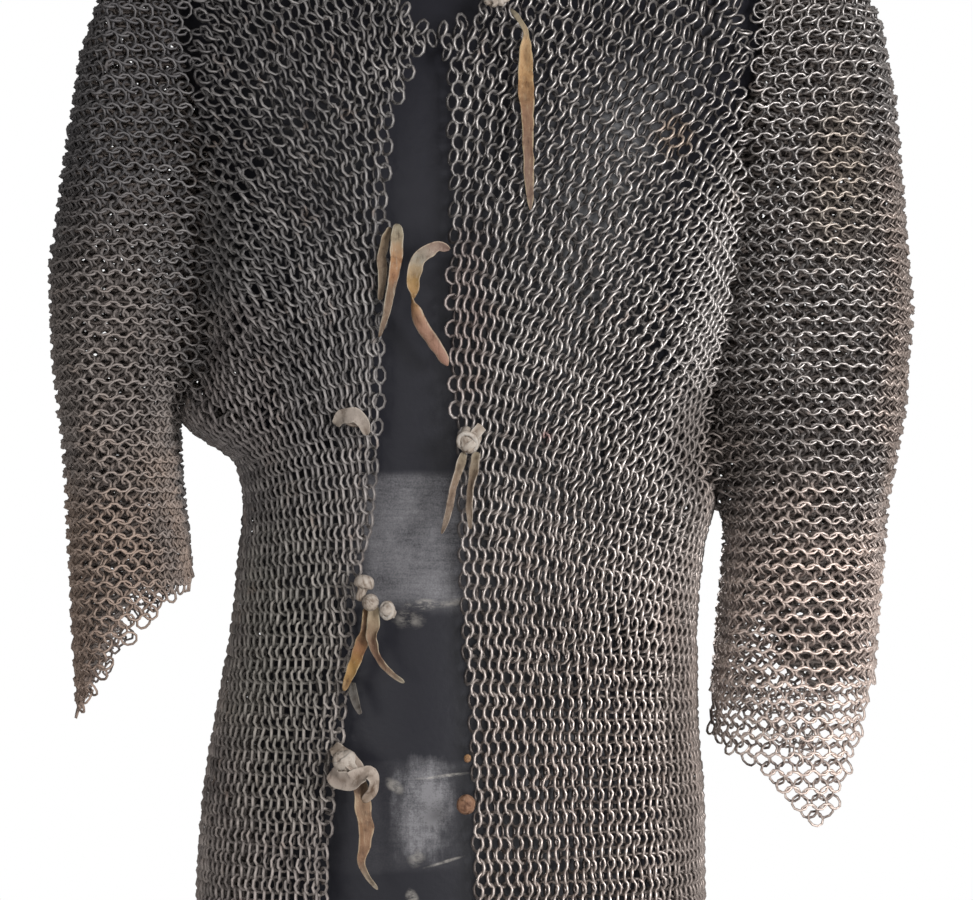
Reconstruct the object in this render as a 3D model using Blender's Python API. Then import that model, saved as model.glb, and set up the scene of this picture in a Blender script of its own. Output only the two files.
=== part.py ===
"""Open-fronted mail hauberk with leather ties, standing on a limbless torso form.

Each mail panel is a wall that follows the garment's own form: two fronts, a back and two hanging sleeves.
Left and right are as seen from the front, which faces -Y. Z is up, and the form's flat base stands at Z = 0.
All sizes are in metres.
"""

import math
from collections import namedtuple

import bmesh
import bpy
import numpy as np

# Driving dimensions
MAIL_WALL = 0.004  # thickness of a wall of leaning rings
SEAM_GAP = 0.0006  # gap between two panels where they are joined
ROUNDNESS = 0.88  # below 1, a cross-section is squarer than an ellipse
HEM_HEIGHT = 0.062
NECK_HEIGHT = 0.862  # neckline at the sides and back of the neck
ARMHOLE_TOP = 0.825  # top of both armholes, on the shoulder ridge
ARMPIT_LEFT = 0.492
ARMPIT_RIGHT = 0.432
TUCK_WIDTH = 0.019  # half width of the fold where a sleeve leaves the chest
TUCK_DEPTH = 0.36  # share of the depth that the fold takes away
TUCK_TOP = 0.705  # where the fold ends
TUCK_RISE = 0.05  # height over which the fold begins above the armpit
TUCK_FADE = 0.10  # height over which it ends below its top
STRAP_THICKNESS = 0.0024
CUFF_LOW_POINT = 0.64  # where a cuff hangs lowest, as a share of the way from its underarm to its outside

# How finely the walls are divided
BODY_LEVELS = 11  # steps from the hem to an armpit
ARMHOLE_LEVELS = 14  # steps up one side of an armhole
RIDGE_LEVELS = 4  # steps from the top of an armhole to the neck
FRONT_COLUMNS = 9
BACK_COLUMNS = 20

# Cross-sections of the mail's body: how far it reaches to the left, right, front and back at each height.
Section = namedtuple("Section", "height left right front back")
BODY_SECTIONS = [
    Section(0.062, 0.184, 0.157, 0.119, 0.114),
    Section(0.163, 0.181, 0.155, 0.117, 0.113),
    Section(0.230, 0.177, 0.154, 0.114, 0.109),
    Section(0.290, 0.168, 0.150, 0.110, 0.104),
    Section(0.345, 0.158, 0.149, 0.108, 0.101),
    Section(0.400, 0.152, 0.154, 0.109, 0.101),
    Section(0.432, 0.149, 0.161, 0.111, 0.103),
    Section(0.460, 0.154, 0.167, 0.113, 0.105),
    Section(0.492, 0.192, 0.176, 0.115, 0.108),
    Section(0.540, 0.206, 0.194, 0.117, 0.111),
    Section(0.600, 0.213, 0.210, 0.118, 0.114),
    Section(0.660, 0.215, 0.215, 0.115, 0.115),
    Section(0.720, 0.214, 0.215, 0.106, 0.111),
    Section(0.760, 0.210, 0.211, 0.093, 0.103),
    Section(0.795, 0.201, 0.201, 0.078, 0.091),
    Section(0.825, 0.185, 0.185, 0.067, 0.078),
    Section(0.840, 0.150, 0.150, 0.064, 0.072),
    Section(0.852, 0.108, 0.108, 0.063, 0.068),
    Section(0.862, 0.076, 0.076, 0.063, 0.066),
]

# The open front: where the edge of each front panel runs, up to the joined neck and out along the neckline.
Edge = namedtuple("Edge", "height left right")
FRONT_EDGES = [
    Edge(0.062, -0.097, 0.003),
    Edge(0.180, -0.091, 0.002),
    Edge(0.240, -0.0865, 0.001),
    Edge(0.300, -0.0785, -0.002),
    Edge(0.345, -0.075, -0.006),
    Edge(0.390, -0.071, -0.007),
    Edge(0.405, -0.0645, -0.0085),
    Edge(0.465, -0.0575, -0.010),
    Edge(0.540, -0.054, -0.0144),
    Edge(0.620, -0.050, -0.0160),
    Edge(0.687, -0.045, -0.0165),
    Edge(0.703, -0.0375, -0.0165),
    Edge(0.722, -0.031, -0.0175),
    Edge(0.738, -0.0250, -0.0243),
    Edge(0.761, -0.037, 0.0057),
    Edge(0.790, -0.046, 0.026),
    Edge(0.825, -0.057, 0.046),
    Edge(0.862, -0.067, 0.067),
]

# The armholes as they run down the chest: how far out each one lies.
Armhole = namedtuple("Armhole", "height out")
ARMHOLE_LEFT = [
    Armhole(0.492, 0.192),
    Armhole(0.504, 0.1845),
    Armhole(0.530, 0.180),
    Armhole(0.605, 0.178),
    Armhole(0.690, 0.181),
    Armhole(0.825, 0.185),
]
ARMHOLE_RIGHT = [
    Armhole(0.432, 0.161),
    Armhole(0.460, 0.158),
    Armhole(0.500, 0.161),
    Armhole(0.534, 0.168),
    Armhole(0.580, 0.177),
    Armhole(0.640, 0.182),
    Armhole(0.825, 0.185),
]

# Sleeve loops after the armhole. The outer end runs down the sleeve's outside, the inner end down its underarm.
# front and back are how deep the loop is, and sag is how far its low point hangs below a line between its ends.
Loop = namedtuple("Loop", "outer_x outer_z inner_x inner_z front back sag")
SLEEVE_LEFT = [
    Loop(0.222, 0.811, 0.1970, 0.4905, 0.066, 0.072, 0.0),
    Loop(0.246, 0.787, 0.1995, 0.487, 0.078, 0.080, 0.0),
    Loop(0.262, 0.738, 0.2000, 0.482, 0.083, 0.084, 0.0),
    Loop(0.272, 0.670, 0.1995, 0.474, 0.085, 0.085, 0.0),
    Loop(0.283, 0.592, 0.1990, 0.464, 0.085, 0.085, 0.0),
    Loop(0.281, 0.530, 0.1980, 0.450, 0.084, 0.084, 0.0),
    Loop(0.273, 0.468, 0.1960, 0.433, 0.083, 0.083, 0.0),
    Loop(0.270, 0.405, 0.1930, 0.413, 0.081, 0.081, -0.002),
    Loop(0.268, 0.345, 0.1910, 0.394, 0.078, 0.079, -0.005),
    Loop(0.265, 0.283, 0.1890, 0.375, 0.075, 0.076, -0.010),
]
SLEEVE_RIGHT = [
    Loop(0.225, 0.812, 0.167, 0.4305, 0.066, 0.072, 0.0),
    Loop(0.254, 0.795, 0.1715, 0.427, 0.079, 0.081, 0.0),
    Loop(0.276, 0.763, 0.1735, 0.422, 0.084, 0.085, 0.0),
    Loop(0.286, 0.710, 0.1745, 0.415, 0.086, 0.086, 0.0),
    Loop(0.292, 0.642, 0.1745, 0.406, 0.087, 0.087, 0.0),
    Loop(0.298, 0.570, 0.1735, 0.394, 0.088, 0.087, 0.0),
    Loop(0.294, 0.500, 0.1715, 0.376, 0.087, 0.086, 0.005),
    Loop(0.282, 0.438, 0.1695, 0.350, 0.085, 0.084, 0.018),
    Loop(0.277, 0.378, 0.1665, 0.318, 0.082, 0.081, 0.042),
    Loop(0.273, 0.314, 0.1615, 0.275, 0.078, 0.077, 0.084),
]

# The torso form, from its flat base to the top of its neck stump. Its own sides are alike.
FormSection = namedtuple("FormSection", "height side front back")
FORM_SECTIONS = [
    FormSection(0.000, 0.146, 0.097, 0.092),
    FormSection(0.006, 0.150, 0.101, 0.096),
    FormSection(0.100, 0.150, 0.103, 0.099),
    FormSection(0.200, 0.147, 0.102, 0.096),
    FormSection(0.300, 0.141, 0.098, 0.090),
    FormSection(0.400, 0.141, 0.097, 0.088),
    FormSection(0.480, 0.148, 0.101, 0.092),
    FormSection(0.530, 0.160, 0.103, 0.096),
    FormSection(0.560, 0.166, 0.104, 0.098),
    FormSection(0.640, 0.173, 0.103, 0.101),
    FormSection(0.700, 0.187, 0.096, 0.099),
    FormSection(0.740, 0.198, 0.085, 0.091),
    FormSection(0.770, 0.202, 0.072, 0.082),
    FormSection(0.795, 0.192, 0.060, 0.070),
    FormSection(0.812, 0.165, 0.053, 0.062),
    FormSection(0.826, 0.125, 0.051, 0.058),
    FormSection(0.840, 0.086, 0.051, 0.056),
    FormSection(0.852, 0.064, 0.051, 0.055),
    FormSection(0.870, 0.058, 0.050, 0.053),
    FormSection(0.912, 0.057, 0.049, 0.052),
    FormSection(0.918, 0.054, 0.046, 0.049),
    FormSection(0.920, 0.048, 0.040, 0.043),
]
FORM_LEVELS = 46
FORM_SIDES = 44
FORM_SIDE_ROUNDNESS = 0.94  # the form's sides are a little fuller than an ellipse

# Leather straps. x and z place the strap's middle, lift is how far it stands off the mail's middle surface,
# and turn is how far, in degrees, its flat side is turned away from the front.
Point = namedtuple("Point", "x z lift width turn")
STRAPS = {
    "tie_neck": [
        Point(0.0270, 0.7560, 0.0120, 0.0040, 10),
        Point(0.0330, 0.7480, 0.0125, 0.0032, 0),
        Point(0.0372, 0.7390, 0.0120, 0.0038, 0),
        Point(0.0370, 0.7300, 0.0115, 0.0088, 0),
        Point(0.0368, 0.7150, 0.0110, 0.0100, 0),
        Point(0.0369, 0.6990, 0.0108, 0.0098, 4),
        Point(0.0373, 0.6820, 0.0106, 0.0082, 8),
        Point(0.0379, 0.6660, 0.0104, 0.0074, 8),
        Point(0.0386, 0.6480, 0.0102, 0.0062, 5),
        Point(0.0393, 0.6340, 0.0100, 0.0046, 0),
        Point(0.0396, 0.6240, 0.0098, 0.0026, 0),
    ],
    "tie_upper_left": [
        Point(-0.0462, 0.6150, 0.0110, 0.0062, 0),
        Point(-0.0468, 0.6050, 0.0125, 0.0086, 10),
        Point(-0.0478, 0.5900, 0.0125, 0.0080, 14),
        Point(-0.0506, 0.5740, 0.0115, 0.0062, 20),
        Point(-0.0536, 0.5580, 0.0110, 0.0050, 25),
        Point(-0.0582, 0.5420, 0.0105, 0.0024, 20),
    ],
    "tie_upper_right": [
        Point(-0.0130, 0.5995, 0.0110, 0.0044, 30),
        Point(-0.0190, 0.6012, 0.0135, 0.0054, 40),
        Point(-0.0260, 0.5990, 0.0150, 0.0058, 30),
        Point(-0.0325, 0.5930, 0.0155, 0.0062, 15),
        Point(-0.0357, 0.5850, 0.0150, 0.0068, 5),
        Point(-0.0366, 0.5750, 0.0140, 0.0066, 0),
        Point(-0.0362, 0.5660, 0.0130, 0.0042, 25),
        Point(-0.0340, 0.5560, 0.0125, 0.0078, -10),
        Point(-0.0292, 0.5470, 0.0120, 0.0082, -15),
        Point(-0.0222, 0.5370, 0.0115, 0.0060, -20),
        Point(-0.0150, 0.5265, 0.0110, 0.0030, -10),
    ],
    "tie_mid_right_a": [
        Point(-0.0040, 0.4640, 0.0115, 0.0048, 10),
        Point(-0.0078, 0.4530, 0.0125, 0.0054, 15),
        Point(-0.0112, 0.4420, 0.0125, 0.0050, 20),
        Point(-0.0134, 0.4310, 0.0115, 0.0042, 10),
        Point(-0.0155, 0.4220, 0.0105, 0.0034, 0),
        Point(-0.0178, 0.4150, 0.0100, 0.0020, 0),
    ],
    "tie_mid_right_b": [
        Point(0.0045, 0.4620, 0.0115, 0.0050, -10),
        Point(0.0026, 0.4520, 0.0120, 0.0056, -15),
        Point(0.0008, 0.4400, 0.0115, 0.0050, -20),
        Point(0.0004, 0.4290, 0.0108, 0.0042, -10),
        Point(0.0008, 0.4180, 0.0104, 0.0028, 0),
    ],
    "tie_mid_left_a": [
        Point(-0.0690, 0.3625, 0.0120, 0.0052, 20),
        Point(-0.0676, 0.3500, 0.0125, 0.0064, 10),
        Point(-0.0702, 0.3400, 0.0120, 0.0074, 0),
        Point(-0.0745, 0.3300, 0.0115, 0.0072, 0),
        Point(-0.0785, 0.3200, 0.0110, 0.0052, 0),
        Point(-0.0815, 0.3125, 0.0106, 0.0024, 0),
    ],
    "tie_mid_left_b": [
        Point(-0.0606, 0.3620, 0.0145, 0.0056, 0),
        Point(-0.0628, 0.3520, 0.0160, 0.0066, -10),
        Point(-0.0618, 0.3430, 0.0160, 0.0056, -20),
        Point(-0.0578, 0.3350, 0.0145, 0.0044, -15),
        Point(-0.0500, 0.3245, 0.0125, 0.0034, -10),
        Point(-0.0420, 0.3185, 0.0115, 0.0026, 0),
    ],
    "tie_low_left": [
        Point(-0.0680, 0.2440, 0.0125, 0.0064, 0),
        Point(-0.0680, 0.2330, 0.0130, 0.0088, 8),
        Point(-0.0670, 0.2230, 0.0125, 0.0084, 12),
        Point(-0.0694, 0.2110, 0.0115, 0.0064, 10),
        Point(-0.0700, 0.2030, 0.0110, 0.0046, 0),
        Point(-0.0665, 0.1950, 0.0108, 0.0042, -10),
        Point(-0.0592, 0.1850, 0.0104, 0.0024, 0),
    ],
    "fold_upper_left": [
        Point(-0.0545, 0.6120, 0.0090, 0.0036, 30),
        Point(-0.0550, 0.6000, 0.0095, 0.0048, 35),
        Point(-0.0552, 0.5880, 0.0095, 0.0044, 30),
        Point(-0.0560, 0.5770, 0.0090, 0.0028, 20),
    ],
    "loop_low_left_a": [
        Point(-0.0850, 0.2640, 0.0105, 0.0054, 0),
        Point(-0.0875, 0.2550, 0.0120, 0.0066, 10),
        Point(-0.0830, 0.2470, 0.0125, 0.0060, 10),
        Point(-0.0765, 0.2450, 0.0115, 0.0040, 0),
    ],
    "loop_low_left_b": [
        Point(-0.0730, 0.2590, 0.0120, 0.0050, 10),
        Point(-0.0668, 0.2600, 0.0140, 0.0062, 20),
        Point(-0.0615, 0.2555, 0.0145, 0.0058, 20),
        Point(-0.0620, 0.2495, 0.0135, 0.0046, 10),
    ],
    "end_mid_left": [
        Point(-0.0745, 0.3170, 0.0090, 0.0030, 0),
        Point(-0.0738, 0.3090, 0.0095, 0.0040, 0),
        Point(-0.0722, 0.3000, 0.0090, 0.0026, 0),
    ],
}

# Leather knots and knobs: middle, stand-off from the mail's middle surface, and size across, deep and high.
Knot = namedtuple("Knot", "x z lift across deep high tilt")
KNOTS = {
    "knot_neck": Knot(0.0180, 0.7620, 0.0145, 0.0190, 0.0090, 0.0085, 12),
    "nub_left": Knot(-0.0728, 0.4880, 0.0130, 0.0165, 0.0085, 0.0105, -35),
    "knot_mid_right": Knot(0.0018, 0.4770, 0.0155, 0.0150, 0.0110, 0.0215, 8),
    "bead_mid_left_a": Knot(-0.0696, 0.3835, 0.0145, 0.0130, 0.0110, 0.0098, -15),
    "bead_mid_left_b": Knot(-0.0640, 0.3705, 0.0160, 0.0105, 0.0100, 0.0118, -20),
    "bead_mid_left_c": Knot(-0.0515, 0.3650, 0.0160, 0.0095, 0.0090, 0.0130, 10),
    "knot_low_left": Knot(-0.0795, 0.2720, 0.0145, 0.0175, 0.0110, 0.0120, -30),
    "knob_low_right": Knot(-0.0020, 0.2405, 0.0135, 0.0122, 0.0095, 0.0132, 0),
    "bit_low_right": Knot(-0.0010, 0.2700, 0.0105, 0.0048, 0.0036, 0.0055, 0),
}
KNOT_SIDES = 12
KNOT_RINGS = 7
KNOT_LOBES = 0.06  # how far a knot's lobes stand out, as a share of its size
STRAP_BEVEL = 0.7  # width of a strap's flat faces, as a share of the whole

Finish = namedtuple("Finish", "color roughness metallic")
FINISHES = {
    "mail": Finish((0.16, 0.15, 0.15, 1.0), 0.45, 0.9),
    "form": Finish((0.030, 0.031, 0.038, 1.0), 0.55, 0.0),
    "leather": Finish((0.52, 0.38, 0.24, 1.0), 0.75, 0.0),
}


def clear_scene():
    """Removes every object that the new file came with."""
    for item in list(bpy.data.objects):
        bpy.data.objects.remove(item)


def finish_material(name):
    """The plain Principled BSDF of one of the three finishes."""
    known = bpy.data.materials.get(name)
    if known:
        return known
    look = FINISHES[name]
    material = bpy.data.materials.new(name)
    material.use_nodes = True
    shader = material.node_tree.nodes["Principled BSDF"]
    shader.inputs["Base Color"].default_value = look.color
    shader.inputs["Roughness"].default_value = look.roughness
    shader.inputs["Metallic"].default_value = look.metallic
    material.diffuse_color = look.color
    return material


def smooth_column(table, name, height):
    """A column of a table at a height, by a monotone cubic that never overshoots its rows."""
    knots = np.array([row.height for row in table])
    values = np.array([getattr(row, name) for row in table])
    steps = np.diff(knots)
    slopes = np.diff(values) / steps
    tangents = np.zeros(len(knots))
    same_sign = slopes[:-1] * slopes[1:] > 0
    harmonic = 2 * slopes[:-1] * slopes[1:] / np.where(same_sign, slopes[:-1] + slopes[1:], 1.0)
    tangents[1:-1] = np.where(same_sign, harmonic, 0.0)
    tangents[0] = slopes[0]
    tangents[-1] = slopes[-1]
    at = min(max(height, knots[0]), knots[-1])
    i = min(int(np.searchsorted(knots, at, side="right")) - 1, len(steps) - 1)
    t = (at - knots[i]) / steps[i]
    rise = t * t * (3 - 2 * t)
    return (
        values[i] * (1 - rise)
        + values[i + 1] * rise
        + steps[i] * (tangents[i] * t * (1 - t) ** 2 - tangents[i + 1] * t * t * (1 - t))
    )


def armhole_out(side, height):
    """How far out the armhole lies at a height. side is -1 on the left and 1 on the right."""
    table = ARMHOLE_LEFT if side < 0 else ARMHOLE_RIGHT
    return smooth_column(table, "out", height)


def armpit(side):
    """Height of the armpit on that side."""
    return ARMPIT_LEFT if side < 0 else ARMPIT_RIGHT


def tuck(x, height):
    """Share of the depth that is left where the chest folds in towards a sleeve."""
    side = -1 if x < 0 else 1
    rise = min(max((height - armpit(side)) / TUCK_RISE, 0.0), 1.0)
    rise *= min(max((TUCK_TOP - height) / TUCK_FADE, 0.0), 1.0)
    distance = (abs(x) - armhole_out(side, height)) / TUCK_WIDTH
    return 1 - TUCK_DEPTH * rise * math.exp(-distance * distance)


def body_point(angle, height, facing):
    """A point on the middle of the mail's body. angle is -90 degrees at the left side, 0 at the middle and 90 at
    the right side; facing is -1 for the front and 1 for the back."""
    reach = smooth_column(BODY_SECTIONS, "left" if angle < 0 else "right", height)
    depth = smooth_column(BODY_SECTIONS, "front" if facing < 0 else "back", height)
    x = reach * math.sin(angle)
    y = facing * depth * max(math.cos(angle), 0.0) ** ROUNDNESS
    return np.array([x, y * tuck(x, height), height])


def angle_at(x, height):
    """The angle at which the body's section at a height reaches x."""
    reach = smooth_column(BODY_SECTIONS, "left" if x < 0 else "right", height)
    return math.asin(min(max(x / reach, -1.0), 1.0))


def side_levels(side):
    """Heights of the wall's rows on one side: hem to armpit, armpit to armhole top, and on to the neck."""
    low = armpit(side)
    below = [HEM_HEIGHT + (low - HEM_HEIGHT) * i / BODY_LEVELS for i in range(BODY_LEVELS)]
    middle = (ARMHOLE_TOP + low) / 2
    half = (ARMHOLE_TOP - low) / 2
    beside = [middle - half * math.cos(math.pi * i / ARMHOLE_LEVELS) for i in range(ARMHOLE_LEVELS)]
    above = [ARMHOLE_TOP + (NECK_HEIGHT - ARMHOLE_TOP) * i / RIDGE_LEVELS for i in range(RIDGE_LEVELS + 1)]
    return below + beside + above


def outer_angle(side, height):
    """The angle where a panel ends on one side: the side seam, the armhole or the shoulder ridge."""
    if armpit(side) + 1e-9 < height < ARMHOLE_TOP - 1e-9:
        return angle_at(side * armhole_out(side, height), height)
    return side * math.pi / 2


def front_grid(side):
    """Rows of points up a front panel, from its open edge out to its seam."""
    column = "left" if side < 0 else "right"
    grid = []
    for height in side_levels(side):
        inner = angle_at(smooth_column(FRONT_EDGES, column, height), height)
        outer = outer_angle(side, height)
        angles = [inner + (outer - inner) * i / FRONT_COLUMNS for i in range(FRONT_COLUMNS + 1)]
        grid.append([body_point(angle, height, -1) for angle in angles])
    return np.array(grid)


def back_grid():
    """Rows of points up the back, from the left seam to the right one."""
    grid = []
    for left_height, right_height in zip(side_levels(-1), side_levels(1)):
        left = outer_angle(-1, left_height)
        right = outer_angle(1, right_height)
        row = []
        for i in range(BACK_COLUMNS + 1):
            share = i / BACK_COLUMNS
            blend = share * share * (3 - 2 * share)
            height = left_height + (right_height - left_height) * blend
            row.append(body_point(left + (right - left) * share, height, 1))
        grid.append(row)
    return np.array(grid)


def armhole_loop(side):
    """The armhole as a closed loop of points, from its top down the front and up the back."""
    levels = side_levels(side)[BODY_LEVELS : BODY_LEVELS + ARMHOLE_LEVELS + 1]
    front = [body_point(outer_angle(side, height), height, -1) for height in reversed(levels)]
    back = [body_point(outer_angle(side, height), height, 1) for height in levels[1:-1]]
    return front + back


def sleeve_grid(side):
    """Loops of points along a sleeve, from the armhole to the cuff."""
    table = SLEEVE_LEFT if side < 0 else SLEEVE_RIGHT
    grid = [armhole_loop(side)]
    count = 2 * ARMHOLE_LEVELS
    for loop in table:
        ring = []
        for i in range(count):
            turn = 2 * math.pi * i / count
            out = (1 + math.cos(turn)) / 2
            x = loop.inner_x + (loop.outer_x - loop.inner_x) * out
            z = loop.inner_z + (loop.outer_z - loop.inner_z) * out
            depth = loop.front if turn < math.pi else loop.back
            hang = min(out / CUFF_LOW_POINT, (1 - out) / (1 - CUFF_LOW_POINT))
            ring.append(np.array([side * x, -depth * math.sin(turn), z - loop.sag * hang]))
        grid.append(ring)
    return np.array(grid)


def grid_normals(grid, closed, outward):
    """Unit normals of a grid of points, all pointing the way that outward does at the grid's middle."""
    along = np.gradient(grid, axis=0)
    across = (np.roll(grid, -1, axis=1) - np.roll(grid, 1, axis=1)) if closed else np.gradient(grid, axis=1)
    normals = np.cross(along, across)
    normals /= np.linalg.norm(normals, axis=2, keepdims=True)
    middle = (grid.shape[0] // 2, grid.shape[1] // 3)
    if np.dot(normals[middle], outward(grid[middle])) < 0:
        normals = -normals
    return normals


def join_normals(panels):
    """Gives points that lie together on two panels one shared normal, so that their cut edges face each other."""
    shared = {}
    for grid, normals in panels:
        for point, normal in zip(grid.reshape(-1, 3), normals.reshape(-1, 3)):
            key = tuple(np.round(point, 5))
            shared[key] = shared.get(key, np.zeros(3)) + normal
    for grid, normals in panels:
        flat = normals.reshape(-1, 3)
        for i, point in enumerate(grid.reshape(-1, 3)):
            total = shared[tuple(np.round(point, 5))]
            flat[i] = total / np.linalg.norm(total)


def pull_back(grid, seams):
    """Moves a grid's seam points half a seam gap towards the panel's own middle."""
    moved = grid.copy()
    for edge, neighbour in seams:
        direction = grid[neighbour] - grid[edge]
        length = np.linalg.norm(direction, axis=-1, keepdims=True)
        moved[edge] = grid[edge] + direction / length * SEAM_GAP / 2
    return moved


def add_object(name, vertices, faces, finish, smooth=True):
    """Makes one named solid from its points and faces, with its normals facing out."""
    mesh = bpy.data.meshes.new(name)
    solid = bmesh.new()
    points = [solid.verts.new(point) for point in vertices]
    for face in faces:
        solid.faces.new([points[i] for i in face])
    bmesh.ops.triangulate(solid, faces=solid.faces[:])
    bmesh.ops.recalc_face_normals(solid, faces=solid.faces[:])
    solid.to_mesh(mesh)
    solid.free()
    if smooth:
        mesh.shade_smooth()
        mesh.set_sharp_from_angle(angle=math.radians(50))
    item = bpy.data.objects.new(name, mesh)
    item.data.materials.append(finish_material(finish))
    bpy.context.scene.collection.objects.link(item)
    return item


def add_wall(name, grid, normals, closed):
    """Makes a mail wall: the grid's middle surface, half the wall's thickness moved out and half moved in."""
    rows, columns = grid.shape[:2]
    outer = grid + normals * MAIL_WALL / 2
    inner = grid - normals * MAIL_WALL / 2
    vertices = np.concatenate([outer.reshape(-1, 3), inner.reshape(-1, 3)])
    offset = rows * columns
    faces = []
    last_column = columns if closed else columns - 1

    def corner(row, column, layer):
        return layer * offset + row * columns + column % columns

    for row in range(rows - 1):
        for column in range(last_column):
            for layer in (0, 1):
                faces.append([
                    corner(row, column, layer),
                    corner(row, column + 1, layer),
                    corner(row + 1, column + 1, layer),
                    corner(row + 1, column, layer),
                ])
    for column in range(last_column):
        for row in (0, rows - 1):
            faces.append([
                corner(row, column, 0),
                corner(row, column + 1, 0),
                corner(row, column + 1, 1),
                corner(row, column, 1),
            ])
    if not closed:
        for row in range(rows - 1):
            for column in (0, columns - 1):
                faces.append([
                    corner(row, column, 0),
                    corner(row + 1, column, 0),
                    corner(row + 1, column, 1),
                    corner(row, column, 1),
                ])
    return add_object(name, vertices, faces, "mail")


def away_from_axis(point):
    """The way out from the body's upright axis."""
    return np.array([point[0], point[1], 0.0])


def away_from_sleeve(side):
    """The way out from the middle of a sleeve."""
    table = SLEEVE_LEFT if side < 0 else SLEEVE_RIGHT
    loop = table[len(table) // 2]
    middle = side * (loop.outer_x + loop.inner_x) / 2
    return lambda point: np.array([point[0] - middle, point[1], 0.0])


def build_mail():
    """Builds the five mail panels, a seam's gap apart."""
    everything = slice(None)
    first_column = (everything, 0)
    second_column = (everything, 1)
    last_column = (everything, -1)
    next_column = (everything, -2)
    panels = [
        ("front_left", front_grid(-1), False, away_from_axis, [(last_column, next_column)]),
        ("front_right", front_grid(1), False, away_from_axis, [(last_column, next_column)]),
        ("back", back_grid(), False, away_from_axis, [(first_column, second_column), (last_column, next_column)]),
        ("sleeve_left", sleeve_grid(-1), True, away_from_sleeve(-1), [((0,), (1,))]),
        ("sleeve_right", sleeve_grid(1), True, away_from_sleeve(1), [((0,), (1,))]),
    ]
    shaped = [(grid, grid_normals(grid, closed, outward)) for _, grid, closed, outward, _ in panels]
    join_normals(shaped)
    for (name, _, closed, _, seams), (grid, normals) in zip(panels, shaped):
        add_wall(name, pull_back(grid, seams), normals, closed)


def form_point(angle, height):
    """A point on the torso form. angle turns from the right side through the back."""
    side = smooth_column(FORM_SECTIONS, "side", height)
    depth = smooth_column(FORM_SECTIONS, "back" if math.sin(angle) > 0 else "front", height)
    wave = math.sin(angle)
    return (
        side * math.copysign(abs(math.cos(angle)) ** FORM_SIDE_ROUNDNESS, math.cos(angle)),
        depth * math.copysign(abs(wave) ** ROUNDNESS, wave),
        height,
    )


def build_form():
    """Builds the limbless torso form as one closed solid with a flat base."""
    heights = [row.height for row in FORM_SECTIONS]
    even = np.linspace(heights[0], heights[-1], FORM_LEVELS)
    levels = sorted(set(np.round(np.concatenate([even, heights]), 4)))
    levels = [z for i, z in enumerate(levels) if i == 0 or z in heights or z - levels[i - 1] > 0.004]
    vertices = []
    for height in levels:
        for i in range(FORM_SIDES):
            vertices.append(form_point(2 * math.pi * i / FORM_SIDES, height))
    faces = [list(range(FORM_SIDES))]
    last = (len(levels) - 1) * FORM_SIDES
    faces.append([last + i for i in range(FORM_SIDES)])
    for row in range(len(levels) - 1):
        for i in range(FORM_SIDES):
            after = (i + 1) % FORM_SIDES
            low = row * FORM_SIDES
            high = low + FORM_SIDES
            faces.append([low + i, low + after, high + after, high + i])
    add_object("torso_form", vertices, faces, "form")


def front_surface(x, height):
    """How far forward the mail's middle surface lies at a place on the front, or would over the opening."""
    return body_point(angle_at(x, height), height, -1)[1]


def add_strap(name, points):
    """Builds a flat leather strap that follows its points and narrows with its widths."""
    middles = [np.array([p.x, front_surface(p.x, p.z) - p.lift, p.z]) for p in points]
    vertices = []
    for i, point in enumerate(points):
        direction = middles[min(i + 1, len(points) - 1)] - middles[max(i - 1, 0)]
        direction /= np.linalg.norm(direction)
        side = np.cross(direction, [0.0, -1.0, 0.0])
        side /= np.linalg.norm(side)
        face = np.cross(side, direction)
        turn = math.radians(point.turn)
        broad = side * math.cos(turn) + face * math.sin(turn)
        thin = face * math.cos(turn) - side * math.sin(turn)
        half = point.width / 2
        thickness = min(STRAP_THICKNESS, point.width) / 2
        flat = STRAP_BEVEL
        for across, up in ((1, 0), (flat, 1), (-flat, 1), (-1, 0), (-flat, -1), (flat, -1)):
            vertices.append(middles[i] + broad * half * across + thin * thickness * up)
    corners = 6
    last = (len(points) - 1) * corners
    faces = [list(range(corners)), [last + i for i in range(corners)]]
    for row in range(len(points) - 1):
        low = row * corners
        for i in range(corners):
            after = (i + 1) % corners
            faces.append([low + i, low + after, low + corners + after, low + corners + i])
    add_object(name, vertices, faces, "leather")


def add_knot(name, knot):
    """Builds a rounded leather knot with two soft lobes."""
    middle_y = front_surface(knot.x, knot.z) - knot.lift
    tilt = math.radians(knot.tilt)
    vertices = [(0.0, 0.0, knot.high / 2)]
    for ring in range(1, KNOT_RINGS):
        polar = math.pi * ring / KNOT_RINGS
        for i in range(KNOT_SIDES):
            turn = 2 * math.pi * i / KNOT_SIDES
            lobe = 1 + KNOT_LOBES * math.cos(2 * turn + 3 * polar)
            vertices.append((
                knot.across / 2 * math.sin(polar) * math.cos(turn) * lobe,
                knot.deep / 2 * math.sin(polar) * math.sin(turn) * lobe,
                knot.high / 2 * math.cos(polar),
            ))
    vertices.append((0.0, 0.0, -knot.high / 2))
    bottom = len(vertices) - 1
    faces = []
    for i in range(KNOT_SIDES):
        after = (i + 1) % KNOT_SIDES
        faces.append([0, 1 + i, 1 + after])
        last = 1 + (KNOT_RINGS - 2) * KNOT_SIDES
        faces.append([bottom, last + after, last + i])
        for ring in range(KNOT_RINGS - 2):
            low = 1 + ring * KNOT_SIDES
            faces.append([low + i, low + KNOT_SIDES + i, low + KNOT_SIDES + after, low + after])
    placed = []
    for x, y, z in vertices:
        placed.append((
            knot.x + x * math.cos(tilt) - z * math.sin(tilt),
            middle_y + y,
            knot.z + x * math.sin(tilt) + z * math.cos(tilt),
        ))
    add_object(name, placed, faces, "leather")


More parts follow.
